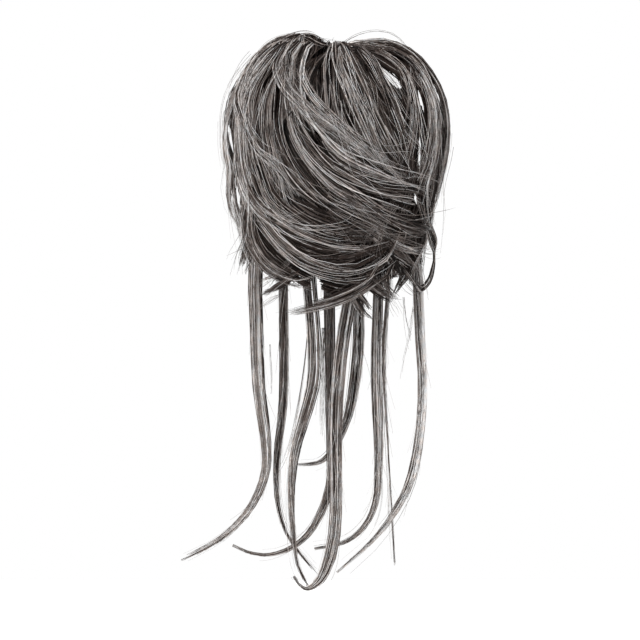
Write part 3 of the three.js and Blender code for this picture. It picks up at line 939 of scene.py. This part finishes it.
class Lock:
    """One lock of hair: its middle line, the ways across and out of it, its section and its taper."""

    settles = False

    def __init__(self, stations, width, thickness, tone, hairs, out_at, taper, shade):
        self.middle = smooth_path(stations)
        forward = unit(np.gradient(self.middle, axis=0))
        self.across = steady(unit(np.cross(forward, out_at(self.middle))))
        self.out = np.cross(self.across, forward)
        self.width = width
        self.thickness = thickness
        self.tone = tone
        self.hairs = hairs
        self.root_share, self.full_to, self.tip_share = taper
        self.shade = shade

    def at(self, values, along):
        """A row of values of the lock, read at lengths along it."""
        place = np.clip(along, 0.0, 1.0) * (PATH_POINTS - 1)
        low = np.minimum(place.astype(int), PATH_POINTS - 2)
        share = (place - low)[..., None]
        return values[low] * (1.0 - share) + values[low + 1] * share

    def steps(self, points):
        """Evenly spaced shares of a hair's length for its points."""
        return np.linspace(0.0, 1.0, points)

    def fullness(self, along):
        """The share of the lock's width at lengths along it."""
        opening = self.root_share + (1.0 - self.root_share) * eased(along, 0.0, FULL_FROM)
        return opening * (1.0 + (self.tip_share - 1.0) * eased(along, self.full_to, 1.0))

    def points(self, along, shift, lift):
        """Points along the lock, moved across it and out of it."""
        aside = self.at(self.across, along) * shift[..., None]
        placed = self.at(self.middle, along) + aside + self.at(self.out, along) * lift[..., None]
        return settled(placed) if self.settles else placed


class FallingLock(Lock):
    """A lock that falls from the loop and settles at the notch."""

    settles = True


class FreeLock(Lock):
    """A lock that curls freely, with the points of its hairs closer together where it bends."""

    def steps(self, points):
        """Shares of a hair's length for its points, closer together at bends."""
        forward = unit(np.diff(self.middle, axis=0))
        bends = np.concatenate([[0.0], np.linalg.norm(np.diff(forward, axis=0), axis=1), [0.0]])
        spent = np.concatenate([[0.0], np.cumsum(bends[1:] / bends.sum() + BEND_EVENNESS / len(bends))])
        return np.interp(np.linspace(0.0, spent[-1], points), spent, np.linspace(0.0, 1.0, len(spent)))


def falling_locks(tier):
    """The plain locks of one tier, each with its own length and swirl."""
    locks = []
    for k in range(tier["count"]):
        variety = (k * GOLDEN_STEP) % 1
        turn = tier["from"] + (tier["to"] - tier["from"]) * (k + 0.5) / tier["count"]
        fall = tier["short"] + (tier["long"] - tier["short"]) * variety
        swirl = tier["swirl"] * (LEAST_SWIRL + variety)
        stations = [weft_point(turn, ROOT_HEIGHT)]
        for height in FALL_HEIGHTS:
            stations.append(form_point(turn + swirl * height / fall, height, tier["sink"]))
        stations.append(form_point(turn + swirl, fall, tier["sink"] + FALL_TUCK))
        locks.append(FallingLock(stations, tier["width"], tier["thickness"], tier["tone"], tier["hairs"],
                                 out_of_crown, FALLING_TAPER, tier["shade"]))
    return locks


def even_depths(stations):
    """Stations whose depths change smoothly, where a path runs along the crown's side."""
    places = np.array(stations)
    for _ in range(DEPTH_ROUNDS):
        places[1:-1, 1] = (places[:-2, 1] + 2.0 * places[1:-1, 1] + places[2:, 1]) / 4.0
    return [tuple(place) for place in places]


def swept_lock(row):
    """A lock of the front from its row of a table."""
    root, sink, width, thickness, tone, hairs, path = row
    stations = [weft_point(root, ROOT_HEIGHT)]
    stations += even_depths([front_point(across, height, sink) for across, height in path])
    return Lock(stations, width, thickness, tone, hairs, out_of_crown, SWEPT_TAPER, sink / DEEP)


def back_lock(row):
    """A lock of the back from its row of a table."""
    root, sink, width, thickness, tone, hairs, path = row
    stations = [weft_point(root, ROOT_HEIGHT)]
    stations += [form_point(turn, height, sink) for turn, height in path]
    return FallingLock(stations, width, thickness, tone, hairs, out_of_crown, SWEPT_TAPER, 0.0)


def short_lock(row):
    """A lock of the front that starts away from the loop, from its row of a table."""
    sink, width, thickness, tone, hairs, path = row
    stations = [front_point(across, height, sink) for across, height in path]
    return FreeLock(stations, width, thickness, tone, hairs, out_of_crown, SHORT_TAPER, sink / DEEP)


def tendril_lock(row):
    """A tendril from its row of the table: down from the weft band, through the crown and along its path."""
    root, hang, at_exit, at_tip, width, thickness, kept, tone, hairs, path = row
    start = weft_point(root, -WEFT_HEIGHT / 2 - CLEARANCE)
    under = (start[0], start[1], start[2] - STRAIGHT_DROP)
    hanging = ((start[0] + path[0][0]) / 2, hang, HANGING_HEIGHT)
    depths = np.linspace(at_exit, at_tip, len(path))
    visible = [(across, depth, height) for (across, height), depth in zip(path, depths)]
    stations = [start, under, hanging, *visible]
    taper = (TENDRIL_ROOT_SHARE, kept, TENDRIL_TIP_SHARE)
    return FreeLock(stations, width, thickness, tone, hairs, to_the_front, taper, 0.0)


class Manner:
    """How loosely a lock's hairs lie, and how their tones differ."""

    def __init__(self, spread, shortest, fray, wander, wave, strays, stray_reach, tone, contrast):
        self.spread = spread
        self.shortest = shortest
        self.fray = fray
        self.wander = wander
        self.wave = wave
        self.strays = strays
        self.stray_reach = stray_reach
        self.tone = tone
        self.contrast = contrast


FALLING_MANNER = Manner(
    spread=1.1, shortest=0.8, fray=0.1, wander=2.2, wave=0.5, strays=0.08, stray_reach=9.0, tone=0.25,
    contrast=0.25)
SWEPT_MANNER = Manner(
    spread=1.1, shortest=0.82, fray=0.1, wander=2.0, wave=0.5, strays=0.1, stray_reach=9.0, tone=0.28,
    contrast=0.32)
END_MANNER = Manner(
    spread=1.15, shortest=0.58, fray=0.2, wander=1.1, wave=0.7, strays=0.16, stray_reach=6.0, tone=0.28,
    contrast=0.32)
SHORT_MANNER = Manner(
    spread=1.05, shortest=0.76, fray=0.1, wander=1.7, wave=0.5, strays=0.12, stray_reach=7.0, tone=0.27,
    contrast=0.32)


def tendril_manner(lock):
    """Hairs that end in the tapering part of a tendril."""
    tapering = 1.0 - lock.full_to
    return Manner(
        spread=1.12, shortest=1.0 - TENDRIL_SHORTENING * tapering, fray=TENDRIL_FRAY * tapering, wander=0.5,
        # tone: lighter than the crown's hair, painted light for tendrils that hang clear of the crown's shade
        wave=0.35, strays=0.07, stray_reach=2.5, tone=0.47, contrast=0.26)


class Hairs:
    """Many hairs: their middle lines, the ways that their flat side faces, widths and tones."""

    def __init__(self):
        self.lines = []
        self.facing = []
        self.widths = []
        self.tones = []

    def add(self, lines, facing, widths, tones):
        """Takes up some more hairs."""
        self.lines.append(lines)
        self.facing.append(facing)
        self.widths.append(widths)
        self.tones.append(tones)

    def joined(self):
        """All the lines, facings, widths and tones, each as one array."""
        return tuple(np.concatenate(part) for part in (self.lines, self.facing, self.widths, self.tones))


class Strips:
    """The thin strips of one lock, each with its own place, depth, end, tone and wandering."""

    def __init__(self, lock, rng, manner, contrast):
        self.count = max(LEAST_STRIPS, round(lock.width / STRIP_WIDTH))
        self.half_width = lock.width * manner.spread / 2 / self.count
        unevenness = STRIP_UNEVENNESS / self.count
        evenly = (np.arange(self.count) + 0.5) / self.count * 2 - 1
        self.place = evenly + rng.normal(0.0, unevenness, self.count)
        self.depth = rng.uniform(-1.0, 1.0, self.count)
        self.end = rng.uniform(manner.shortest, 1.0, self.count)
        self.tone = rng.normal(0.0, STRIP_CONTRAST * contrast, self.count)
        self.wander = rng.normal(0.0, manner.wander, (self.count, 2))
        self.turns = rng.uniform(*STRIP_TURNS, self.count)
        self.start = rng.uniform(0.0, FULL_TURN, self.count)


def lay_hairs(hairs, lock, rng, points, width, manner):
    """Lays the hairs of one lock in thin strips that wander, draw together and end at their own lengths."""
    count = max(LEAST_HAIRS, round(lock.hairs * settings().density))
    # Deep hair is also more even in tone, as part of its painted shade.
    contrast = manner.contrast * (1.0 - DEEP_SHADE_EVENNESS * lock.shade)
    strips = Strips(lock, rng, manner, contrast)
    which = rng.integers(0, strips.count, count)
    scatter = np.clip(rng.normal(0.0, HAIR_SCATTER, count), -HAIR_SCATTER_LIMIT, HAIR_SCATTER_LIMIT)
    ends = np.minimum(strips.end[which] * rng.uniform(1.0 - manner.fray, LONGEST_HAIR, count), 1.0)
    along = lock.steps(points)[None, :] * ends[:, None]
    full = lock.fullness(along)
    free = eased(along, FREE_FROM, FREE_TO)
    drawn = 1.0 - DRAWN_TOGETHER * eased(along, DRAWN_FROM, 1.0)
    bend = FULL_TURN * strips.turns[which][:, None] * along + strips.start[which][:, None]
    shift = strips.place[which][:, None] * full * lock.width * manner.spread / 2
    shift += scatter[:, None] * strips.half_width * full * drawn
    shift += strips.wander[which, 0][:, None] * free * np.sin(bend)
    depth = STRIP_DEPTH * strips.depth[which] + rng.uniform(*HAIR_DEPTHS, count)
    lift = depth[:, None] * full * lock.thickness / 2
    lift += STRIP_LIFT * strips.wander[which, 1][:, None] * free * np.cos(bend)
    wave_size = np.abs(rng.normal(0.0, manner.wave, count))[:, None] * (WAVE_AT_ROOT + along)
    wave_turns = rng.uniform(*WAVE_TURNS, count)[:, None]
    wave = FULL_TURN * wave_turns * along + rng.uniform(*WAVE_STARTS, count)[:, None]
    shift += wave_size * np.sin(wave)
    lift += WAVE_LIFT * wave_size * np.cos(wave)
    stray = rng.random(count) < manner.strays
    leave = eased(along, STRAY_FROM, 1.0) ** rng.uniform(*STRAY_CURVES, count)[:, None]
    reach = np.where(stray, rng.normal(0.0, manner.stray_reach, count), 0.0)[:, None]
    shift += reach * leave
    lift += STRAY_LIFT * np.abs(reach) * leave
    taper = 1.0 - TIP_NARROWING * eased(np.linspace(0.0, 1.0, points), TIP_FROM, 1.0)[None, :]
    widths = width * (1.0 + lock.shade) * rng.uniform(*HAIR_WIDTHS, count)[:, None] * taper
    widths = np.where(stray[:, None], STRAY_WIDTH * widths, widths)
    # Painted shade: hair deep in the crown is darker.
    tones = manner.tone + lock.tone - DEEP_PAINTED_SHADE * lock.shade + strips.tone[which]
    # Painted shade: hairs that lie lower in the lock, under the others, are darker.
    tones = tones + LOWER_HAIR_SHADE * contrast * depth
    tones += rng.normal(0.0, HAIR_CONTRAST * contrast, count)
    tones = np.clip(np.where(stray, tones + STRAY_TONE, tones), *TONE_LIMITS)
    hairs.add(lock.points(along, shift, lift), lock.at(lock.out, along), widths, tones)


def strip_corners(count, points, sides):
    """UV places of each hair's corners: one strip for each hair, in rows of strips."""
    rows = max(1, round(math.sqrt(count / UV_PROPORTION)))
    columns = math.ceil(count / rows)
    hair = np.arange(count)
    left = (hair % columns) / columns
    low = (hair // columns) / rows
    u = left[:, None, None] + np.linspace(*UV_SIDES, sides + 1)[None, None, :] / columns
    v = low[:, None, None] + np.linspace(*UV_ENDS, points)[None, :, None] / rows
    return np.stack(np.broadcast_arrays(u, v), axis=-1)


def fill_attribute(mesh, name, values):
    """Gives each point of a mesh a number."""
    made = mesh.attributes.new(name, "FLOAT", "POINT")
    made.data.foreach_set("value", np.ascontiguousarray(values, np.float32).ravel())


def faced_mesh(name, corners, walls, caps):
    """A smooth mesh of four-sided walls and of end caps."""
    mesh = bpy.data.meshes.new(name)
    mesh.vertices.add(corners.size // 3)
    mesh.vertices.foreach_set("co", (corners * MM).ravel())
    mesh.loops.add(walls.size + caps.size)
    mesh.loops.foreach_set("vertex_index", np.concatenate([walls.ravel(), caps.ravel()]).astype(np.int32))
    wall_starts = np.arange(len(walls)) * walls.shape[1]
    cap_starts = walls.size + np.arange(len(caps)) * caps.shape[1]
    starts = np.concatenate([wall_starts, cap_starts]).astype(np.int32)
    mesh.polygons.add(len(starts))
    mesh.polygons.foreach_set("loop_start", starts)
    mesh.polygons.foreach_set("use_smooth", np.ones(len(starts), bool))
    mesh.update(calc_edges=True)
    return mesh


def tube_piece(name, hairs, sides, flatness, material, in_crown):
    """One mesh of closed tubes, a tube for each hair, flat side out."""
    lines, facing, widths, tones = hairs.joined()
    if in_crown:
        lines = opened(lines)
        lines, facing, widths = ended_at_partings(lines, facing, widths)
    count, points, _ = lines.shape
    forward = unit(np.gradient(lines, axis=1))
    side = unit(np.cross(forward, facing))
    up = np.cross(side, forward)
    turns = math.pi / 2 + np.arange(sides) * FULL_TURN / sides
    reach = (widths / 2)[:, :, None, None]
    corners = (lines[:, :, None, :]
               + side[:, :, None, :] * np.cos(turns)[None, None, :, None] * reach
               + up[:, :, None, :] * np.sin(turns)[None, None, :, None] * reach * flatness)
    index = np.arange(count * points * sides).reshape(count, points, sides)
    after = np.roll(index, -1, axis=2)
    walls = np.stack([index[:, :-1], index[:, 1:], after[:, 1:], after[:, :-1]], axis=-1).reshape(-1, 4)
    caps = np.concatenate([index[:, 0], index[:, -1, ::-1]])
    mesh = faced_mesh(name, corners, walls, caps)
    along = np.linspace(0.0, 1.0, points)[None, :, None]
    fill_attribute(mesh, "tone", np.broadcast_to(tones[:, None, None], index.shape))
    fill_attribute(mesh, "along", np.broadcast_to(along, index.shape))
    strips = strip_corners(count, points, sides)
    wall_corners = [strips[:, :-1, :-1], strips[:, 1:, :-1], strips[:, 1:, 1:], strips[:, :-1, 1:]]
    wall_uv = np.stack(wall_corners, axis=3).reshape(-1, 2)
    cap_uv = np.concatenate([strips[:, 0, :-1], strips[:, -1, -2::-1]]).reshape(-1, 2)
    layer = mesh.uv_layers.new(name=UV_MAP)
    layer.data.foreach_set("uv", np.concatenate([wall_uv, cap_uv]).ravel().astype(np.float32))
    mesh.materials.append(material)
    piece = bpy.data.objects.new(name, mesh)
    bpy.context.scene.collection.objects.link(piece)
    return piece


def take_place(piece, node):
    """Hands a piece over as the look of a node."""
    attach(piece, BODY)
    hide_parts(node)


def generator(part):
    """Steady random numbers for one part of the hairpiece."""
    return np.random.default_rng(settings().seed * RUNS_PER_SEED + part)


def crown_groups():
    """The crown's locks by piece, with their manner and points along a hair."""
    return (
        ("crown_back_hair", falling_locks(FALLING_TIERS[0]), FALLING_MANNER, HIDDEN_POINTS),
        ("crown_back_sweeps", [back_lock(row) for row in BACK_SWEEPS], SWEPT_MANNER, HIDDEN_POINTS),
        ("crown_inner_hair", falling_locks(FALLING_TIERS[1]), FALLING_MANNER, HIDDEN_POINTS),
        ("crown_left_sweeps", [swept_lock(row) for row in LEFT_SWEEPS], SWEPT_MANNER, CROWN_POINTS),
        ("crown_right_sweeps", [swept_lock(row) for row in RIGHT_SWEEPS], SWEPT_MANNER, CROWN_POINTS),
        ("crown_lower_sweeps", [swept_lock(row) for row in LOWER_SWEEPS], SWEPT_MANNER, CROWN_POINTS),
        ("crown_covered_locks", [short_lock(row) for row in COVERED_LOCKS], SHORT_MANNER, SHORT_POINTS),
        ("crown_loose_ends", [short_lock(row) for row in LOOSE_ENDS], END_MANNER, SHORT_POINTS),
        ("crown_curl", [short_lock(row) for row in CURLS], SHORT_MANNER, CURL_POINTS),
    )


class HAIRPIECE_OT_crown_cores(bpy.types.Operator):
    """The dark hair deep in each wide lock of the crown, painted shade under its outer hairs"""

    bl_idname = "hairpiece.crown_cores"
    bl_label = "Crown cores"

    def execute(self, context):
        rng = generator(CORE_RUN)
        cores = Hairs()
        for _, locks, _, _ in crown_groups():
            for lock in locks:
                if lock.width >= LEAST_CORED_WIDTH:
                    self.core(cores, rng, lock)
        material = hair_finish("under_strands_painted_shade", NO_LIFT)
        piece = tube_piece("crown_cores", cores, HAIR_SIDES, CORE_FLATNESS, material, True)
        take_place(piece, "crown_hair")
        return {"FINISHED"}

    def core(self, cores, rng, lock):
        """The wide dark strands of one lock, side by side under its middle, as painted shade."""
        count = round(lock.width * CORES_PER_WIDTH)
        along = np.linspace(0.0, 1.0, CORE_POINTS)[None] * rng.uniform(*CORE_ENDS, count)[:, None]
        full = lock.fullness(along)
        aside = np.linspace(-CORE_SPREAD, CORE_SPREAD, count) + rng.normal(0.0, CORE_UNEVENNESS, count)
        sunk = rng.uniform(*CORE_LIFTS, count)
        shift = aside[:, None] * lock.width * full
        lines = lock.points(along, shift, sunk[:, None] * lock.thickness * full)
        widths = CORE_WIDTH * rng.uniform(*CORE_WIDTHS, count)[:, None] * (CORE_NARROWING - along)
        cores.add(lines, lock.at(lock.out, along), widths, rng.uniform(*CORE_SHADE_TONES, count))


class HAIRPIECE_OT_crown_hair(bpy.types.Operator):
    """The hairs of the crown's locks"""

    bl_idname = "hairpiece.crown_hair"
    bl_label = "Crown hair"

    def execute(self, context):
        width = settings().hair_width / MM
        material = hair_finish("crown_hair_strands", CROWN_LIFT)
        for part, (name, locks, manner, points) in enumerate(crown_groups()):
            rng = generator(part)
            hairs = Hairs()
            for lock in locks:
                lay_hairs(hairs, lock, rng, points, width, manner)
            piece = tube_piece(name, hairs, HAIR_SIDES, HAIR_FLATNESS, material, True)
            take_place(piece, "crown_hair")
        return {"FINISHED"}


class HAIRPIECE_OT_flyaways(bpy.types.Operator):
    """Loose single hairs and thin wisps"""

    bl_idname = "hairpiece.flyaways"
    bl_label = "Flyaways"

    def execute(self, context):
        rng = generator(FLYAWAY_RUN)
        width = settings().flyaway_width / MM
        hairs = Hairs()
        self.over_the_crown(hairs, rng, width)
        self.beside_the_tendrils(hairs, rng, width)
        self.in_wisps(hairs, rng, width)
        material = hair_finish("flyaway_strands", FLYAWAY_LIFT)
        piece = tube_piece("flyaway_hairs", hairs, HAIR_SIDES, ROUND, material, False)
        take_place(piece, "crown_hair")
        return {"FINISHED"}

    def over_the_crown(self, hairs, rng, width):
        """Hairs that leave the open locks of the front and of the back."""
        rows = LEFT_SWEEPS[:OPEN_LEFT_SWEEPS] + RIGHT_SWEEPS + LOWER_SWEEPS[:OPEN_LOWER_SWEEPS]
        front = [swept_lock(row) for row in rows]
        for _ in range(settings().flyaways):
            lock = front[rng.integers(len(front))]
            along, leave, shift = self.leaving(rng, lock)
            lines = on_the_front(lock.points(along, shift, 0.0 * along), rng.uniform(*FRONT_LIFTS))
            self.flyaway(hairs, rng, width, lock, lines, along, leave)
        back = [back_lock(row) for row in BACK_SWEEPS] + falling_locks(FALLING_TIERS[0])
        for _ in range(BACK_FLYAWAYS):
            lock = back[rng.integers(len(back))]
            along, leave, shift = self.leaving(rng, lock)
            lines = lock.points(along, shift, rng.uniform(*BACK_LIFTS) + 0.0 * along)
            self.flyaway(hairs, rng, width, lock, lines, along, leave)

    def leaving(self, rng, lock):
        """Where a hair runs along a lock, how far it has left it and how far across it lies."""
        start = rng.uniform(*FLYAWAY_STARTS)
        along = np.linspace(start, min(1.0, start + rng.uniform(*FLYAWAY_LENGTHS)), FLYAWAY_POINTS)[None]
        leave = np.linspace(0.0, 1.0, FLYAWAY_POINTS)[None] ** FLYAWAY_CURVE
        swing = np.clip(rng.normal(0.0, rng.choice(FLYAWAY_SWINGS)), -WIDEST_SWING, WIDEST_SWING)
        return along, leave, rng.uniform(-0.5, 0.5) * lock.width + swing * leave

    def flyaway(self, hairs, rng, width, lock, lines, along, leave):
        """Adds one hair that narrows as it leaves its lock."""
        tone = np.array([rng.uniform(*FLYAWAY_TONES)])
        widths = width * rng.uniform(*FLYAWAY_WIDTHS) * (1.0 - FLYAWAY_NARROWING * leave)
        hairs.add(lines, lock.at(lock.out, along), widths, tone)

    def beside_the_tendrils(self, hairs, rng, width):
        """Short hairs that leave the tendrils at a slant."""
        leave = np.linspace(0.0, 1.0, FLYAWAY_POINTS)[None]
        widths = width * (1.0 - SIDE_NARROWING * leave)
        for row in TENDRILS:
            lock = tendril_lock(row)
            for _ in range(TENDRIL_STRAYS):
                start = rng.uniform(*SIDE_STARTS)
                along = np.linspace(start, start + rng.uniform(*SIDE_LENGTHS), FLYAWAY_POINTS)[None]
                side = 0.5 * lock.width * lock.fullness(along)
                shift = rng.uniform(-1.0, 1.0) * side + rng.normal(0.0, SIDE_SWING) * leave
                lift = lock.thickness * 0.5 + rng.uniform(*SIDE_LIFTS) * leave
                tone = np.array([rng.uniform(*SIDE_TONES)])
                hairs.add(lock.points(along, shift, lift), lock.at(lock.out, along), widths, tone)

    def in_wisps(self, hairs, rng, width):
        """The thin wisps."""
        for count, spread, depth, path in WISPS:
            stations = [(across, depth, height) for across, height in path]
            self.wisp(hairs, rng, width, count, spread, stations)
        for count, spread, path in CROWN_WISPS:
            stations = [front_point(across, height, WISP_SINK) for across, height in path]
            self.wisp(hairs, rng, width, count, spread, stations)

    def wisp(self, hairs, rng, width, count, spread, stations):
        """One wisp, whose hairs part towards their ends."""
        lock = Lock(stations, spread, spread, 0.0, count, to_the_front, WISP_TAPER, 0.0)
        for _ in range(count):
            along = np.linspace(0.0, rng.uniform(*WISP_ENDS), FLYAWAY_POINTS)[None]
            aside, behind = rng.normal(0.0, spread / 2, 2)
            wave = np.sin(rng.uniform(*WISP_WAVES) * along + rng.uniform(*WAVE_STARTS)) * WISP_WAVE * spread
            tone = np.array([rng.uniform(*WISP_TONES)])
            widths = width * (1.0 - WISP_NARROWING * along)
            shift = aside * (WISP_AT_ROOT + along) + wave
            lines = lock.points(along, shift, WISP_DEPTH * behind + 0.0 * along)
            hairs.add(lines, lock.at(lock.out, along), widths, tone)


class HAIRPIECE_OT_tendrils(bpy.types.Operator):
    """The long loose tendrils"""

    bl_idname = "hairpiece.tendrils"
    bl_label = "Tendrils"

    def execute(self, context):
        width = settings().hair_width / MM
        material = hair_finish("tendril_strands", TENDRIL_LIFT)
        for number, row in enumerate(TENDRILS, 1):
            lock = tendril_lock(row)
            rng = generator(TENDRIL_RUN + number)
            hairs = Hairs()
            lay_hairs(hairs, lock, rng, TENDRIL_POINTS, width, tendril_manner(lock))
            piece = tube_piece(f"tendril_{number}_hair", hairs, HAIR_SIDES, HAIR_FLATNESS, material, False)
            take_place(piece, f"tendril_{number}")
        return {"FINISHED"}


class HAIRPIECE_OT_elastic(bpy.types.Operator):
    """The gathered elastic loop"""

    bl_idname = "hairpiece.elastic"
    bl_label = "Elastic loop"

    def execute(self, context):
        bpy.ops.object.select_all(action="DESELECT")
        bpy.ops.mesh.primitive_torus_add(
            major_segments=LOOP_SEGMENTS, minor_segments=ELASTIC_SEGMENTS,
            major_radius=LOOP_RADIUS * MM, minor_radius=ELASTIC_RADIUS * MM)
        piece = context.object
        piece.name = "elastic_loop"
        piece.data.name = "elastic_loop"
        self.gather(piece)
        rounding = piece.modifiers.new("rounding", "SUBSURF")
        rounding.levels = 1
        rounding.render_levels = 1
        bpy.ops.object.modifier_apply(modifier=rounding.name)
        bpy.ops.object.shade_smooth()
        piece.data.materials.append(elastic_finish())
        take_place(piece, "elastic_band")
        return {"FINISHED"}

    def gather(self, piece):
        """Draws in every second ring of the loop."""
        bpy.ops.object.mode_set(mode="EDIT")
        bpy.ops.mesh.select_all(action="DESELECT")
        bpy.ops.object.mode_set(mode="OBJECT")
        for vertex in piece.data.vertices:
            ring = round(math.atan2(vertex.co.y, vertex.co.x) / (FULL_TURN / LOOP_SEGMENTS))
            vertex.select = ring % 2 == 0
        bpy.ops.object.mode_set(mode="EDIT")
        bpy.ops.transform.shrink_fatten(value=-GATHER_DEPTH * MM)
        bpy.ops.object.mode_set(mode="OBJECT")


class HAIRPIECE_OT_weft(bpy.types.Operator):
    """The sewn weft band that the hair hangs from, with its stitches"""

    bl_idname = "hairpiece.weft"
    bl_label = "Weft band"

    def execute(self, context):
        bpy.ops.object.select_all(action="DESELECT")
        bpy.ops.mesh.primitive_cylinder_add(
            vertices=WEFT_SEGMENTS, radius=WEFT_MIDDLE * MM, depth=WEFT_SHOWN * MM, end_fill_type="NOTHING",
            calc_uvs=False, location=(0.0, 0.0, -WEFT_SHOWN / 2 * MM))
        bpy.ops.object.transform_apply(location=True, rotation=False, scale=False)
        band = context.object
        band.name = "weft_band"
        band.data.name = "weft_band"
        wall = band.modifiers.new("wall", "SOLIDIFY")
        wall.thickness = WEFT_THICKNESS * MM
        wall.offset = 0.0
        bpy.ops.object.modifier_apply(modifier=wall.name)
        edges = band.modifiers.new("edges", "BEVEL")
        edges.width = WEFT_EDGE * MM
        edges.segments = WEFT_EDGE_STEPS
        bpy.ops.object.modifier_apply(modifier=edges.name)
        bpy.ops.object.shade_smooth()
        band.data.materials.append(weft_finish())
        take_place(band, "crown_hair")
        self.stitches()
        return {"FINISHED"}

    def stitches(self):
        """Slanting stitches over the band's upper and lower edges."""
        seam = Hairs()
        inner = WEFT_INNER - STITCH_STAND
        outer = WEFT_INNER + WEFT_THICKNESS + STITCH_STAND
        edge = WEFT_SHOWN / 2 + STITCH_STAND
        low = edge - STITCH_DEPTH
        radii = np.array([inner, inner, inner + STITCH_BEND, outer - STITCH_BEND, outer, outer])
        rises = np.array([low, edge - STITCH_BEND, edge, edge, edge - STITCH_BEND, low])
        for number in range(STITCHES):
            turns = FULL_TURN * (number + np.linspace(0.0, STITCH_SLANT, len(radii))) / STITCHES
            for upward in (1.0, -1.0):
                heights = upward * rises - WEFT_SHOWN / 2
                lines = np.stack([radii * np.sin(turns), -radii * np.cos(turns), heights], axis=-1)
                facing = unit(np.gradient(lines, axis=0)[:, [1, 0, 2]] * np.array([-1.0, 1.0, 0.0]))
                widths = np.full((1, len(radii)), STITCH_WIDTH)
                seam.add(lines[None], facing[None], widths, np.array([STITCH_TONE]))
        material = hair_finish("stitch_thread", NO_LIFT)
        piece = tube_piece("weft_stitches", seam, STITCH_SIDES, ROUND, material, False)
        take_place(piece, "crown_hair")


class HAIRPIECE_OT_stage(bpy.types.Operator):
    """The floor, the lights and the camera"""

    bl_idname = "hairpiece.stage"
    bl_label = "Studio"

    def execute(self, context):
        scene = context.scene
        bpy.ops.object.select_all(action="DESELECT")
        bpy.ops.mesh.primitive_plane_add(size=FLOOR_SIZE, location=(0.0, 0.0, FLOOR_HEIGHT))
        floor = context.object
        floor.name = "floor"
        floor.data.materials.append(floor_finish())
        self.backdrop(scene)
        for name, place, size, power in LAMPS:
            self.lamp(scene, name, place, size, power)
        self.camera(scene)
        return {"FINISHED"}

    def backdrop(self, scene):
        """An even white studio all round."""
        world = bpy.data.worlds.new("white_studio")
        world.use_nodes = True
        light = world.node_tree.nodes["Background"]
        light.inputs["Color"].default_value = WHITE
        light.inputs["Strength"].default_value = 1.0
        scene.world = world
        scene.view_settings.view_transform = "Standard"

    def lamp(self, scene, name, place, size, power):
        """A square soft light that faces the crown."""
        data = bpy.data.lights.new(name, "AREA")
        data.size = size
        data.energy = power
        lamp = bpy.data.objects.new(name, data)
        lamp.location = place
        aim = Vector(LAMP_AIM) - Vector(place)
        lamp.rotation_euler = aim.to_track_quat("-Z", "Y").to_euler()
        scene.collection.objects.link(lamp)

    def camera(self, scene):
        """A long lens, level with the middle of the hairpiece."""
        data = bpy.data.cameras.new("camera")
        data.lens = LENS
        data.sensor_width = SENSOR_WIDTH
        camera = bpy.data.objects.new("camera", data)
        camera.location = Vector(VIEWPOINT) * MM
        camera.rotation_euler = (math.pi / 2, 0.0, 0.0)
        scene.collection.objects.link(camera)
        scene.camera = camera


class HAIRPIECE_PT_panel(bpy.types.Panel):
    """The hairpiece's sizes, colours and pieces"""

    bl_idname = "HAIRPIECE_PT_panel"
    bl_label = "Ponytail extension"
    bl_space_type = "VIEW_3D"
    bl_region_type = "UI"
    bl_category = "Hairpiece"

    def draw(self, context):
        chosen = context.scene.hairpiece
        for name in HairpieceSettings.__annotations__:
            self.layout.prop(chosen, name)
        for operator in OPERATORS:
            self.layout.operator(operator.bl_idname)


OPERATORS = (
    HAIRPIECE_OT_elastic,
    HAIRPIECE_OT_weft,
    HAIRPIECE_OT_crown_cores,
    HAIRPIECE_OT_crown_hair,
    HAIRPIECE_OT_flyaways,
    HAIRPIECE_OT_tendrils,
    HAIRPIECE_OT_stage,
)
CLASSES = (HairpieceSettings, *OPERATORS, HAIRPIECE_PT_panel)


def register():
    """Makes the settings, operators and panel known."""
    for cls in CLASSES:
        bpy.utils.register_class(cls)
    bpy.types.Scene.hairpiece = bpy.props.PointerProperty(type=HairpieceSettings)


def unregister():
    """Takes the settings, operators and panel away again."""
    del bpy.types.Scene.hairpiece
    for cls in reversed(CLASSES):
        bpy.utils.unregister_class(cls)


def main():
    """Builds the hairpiece on its stage."""
    register()
    bpy.ops.hairpiece.elastic()
    bpy.ops.hairpiece.weft()
    bpy.ops.hairpiece.crown_cores()
    bpy.ops.hairpiece.crown_hair()
    bpy.ops.hairpiece.flyaways()
    bpy.ops.hairpiece.tendrils()
    bpy.ops.hairpiece.stage()


if __name__ == "__main__":
    main()
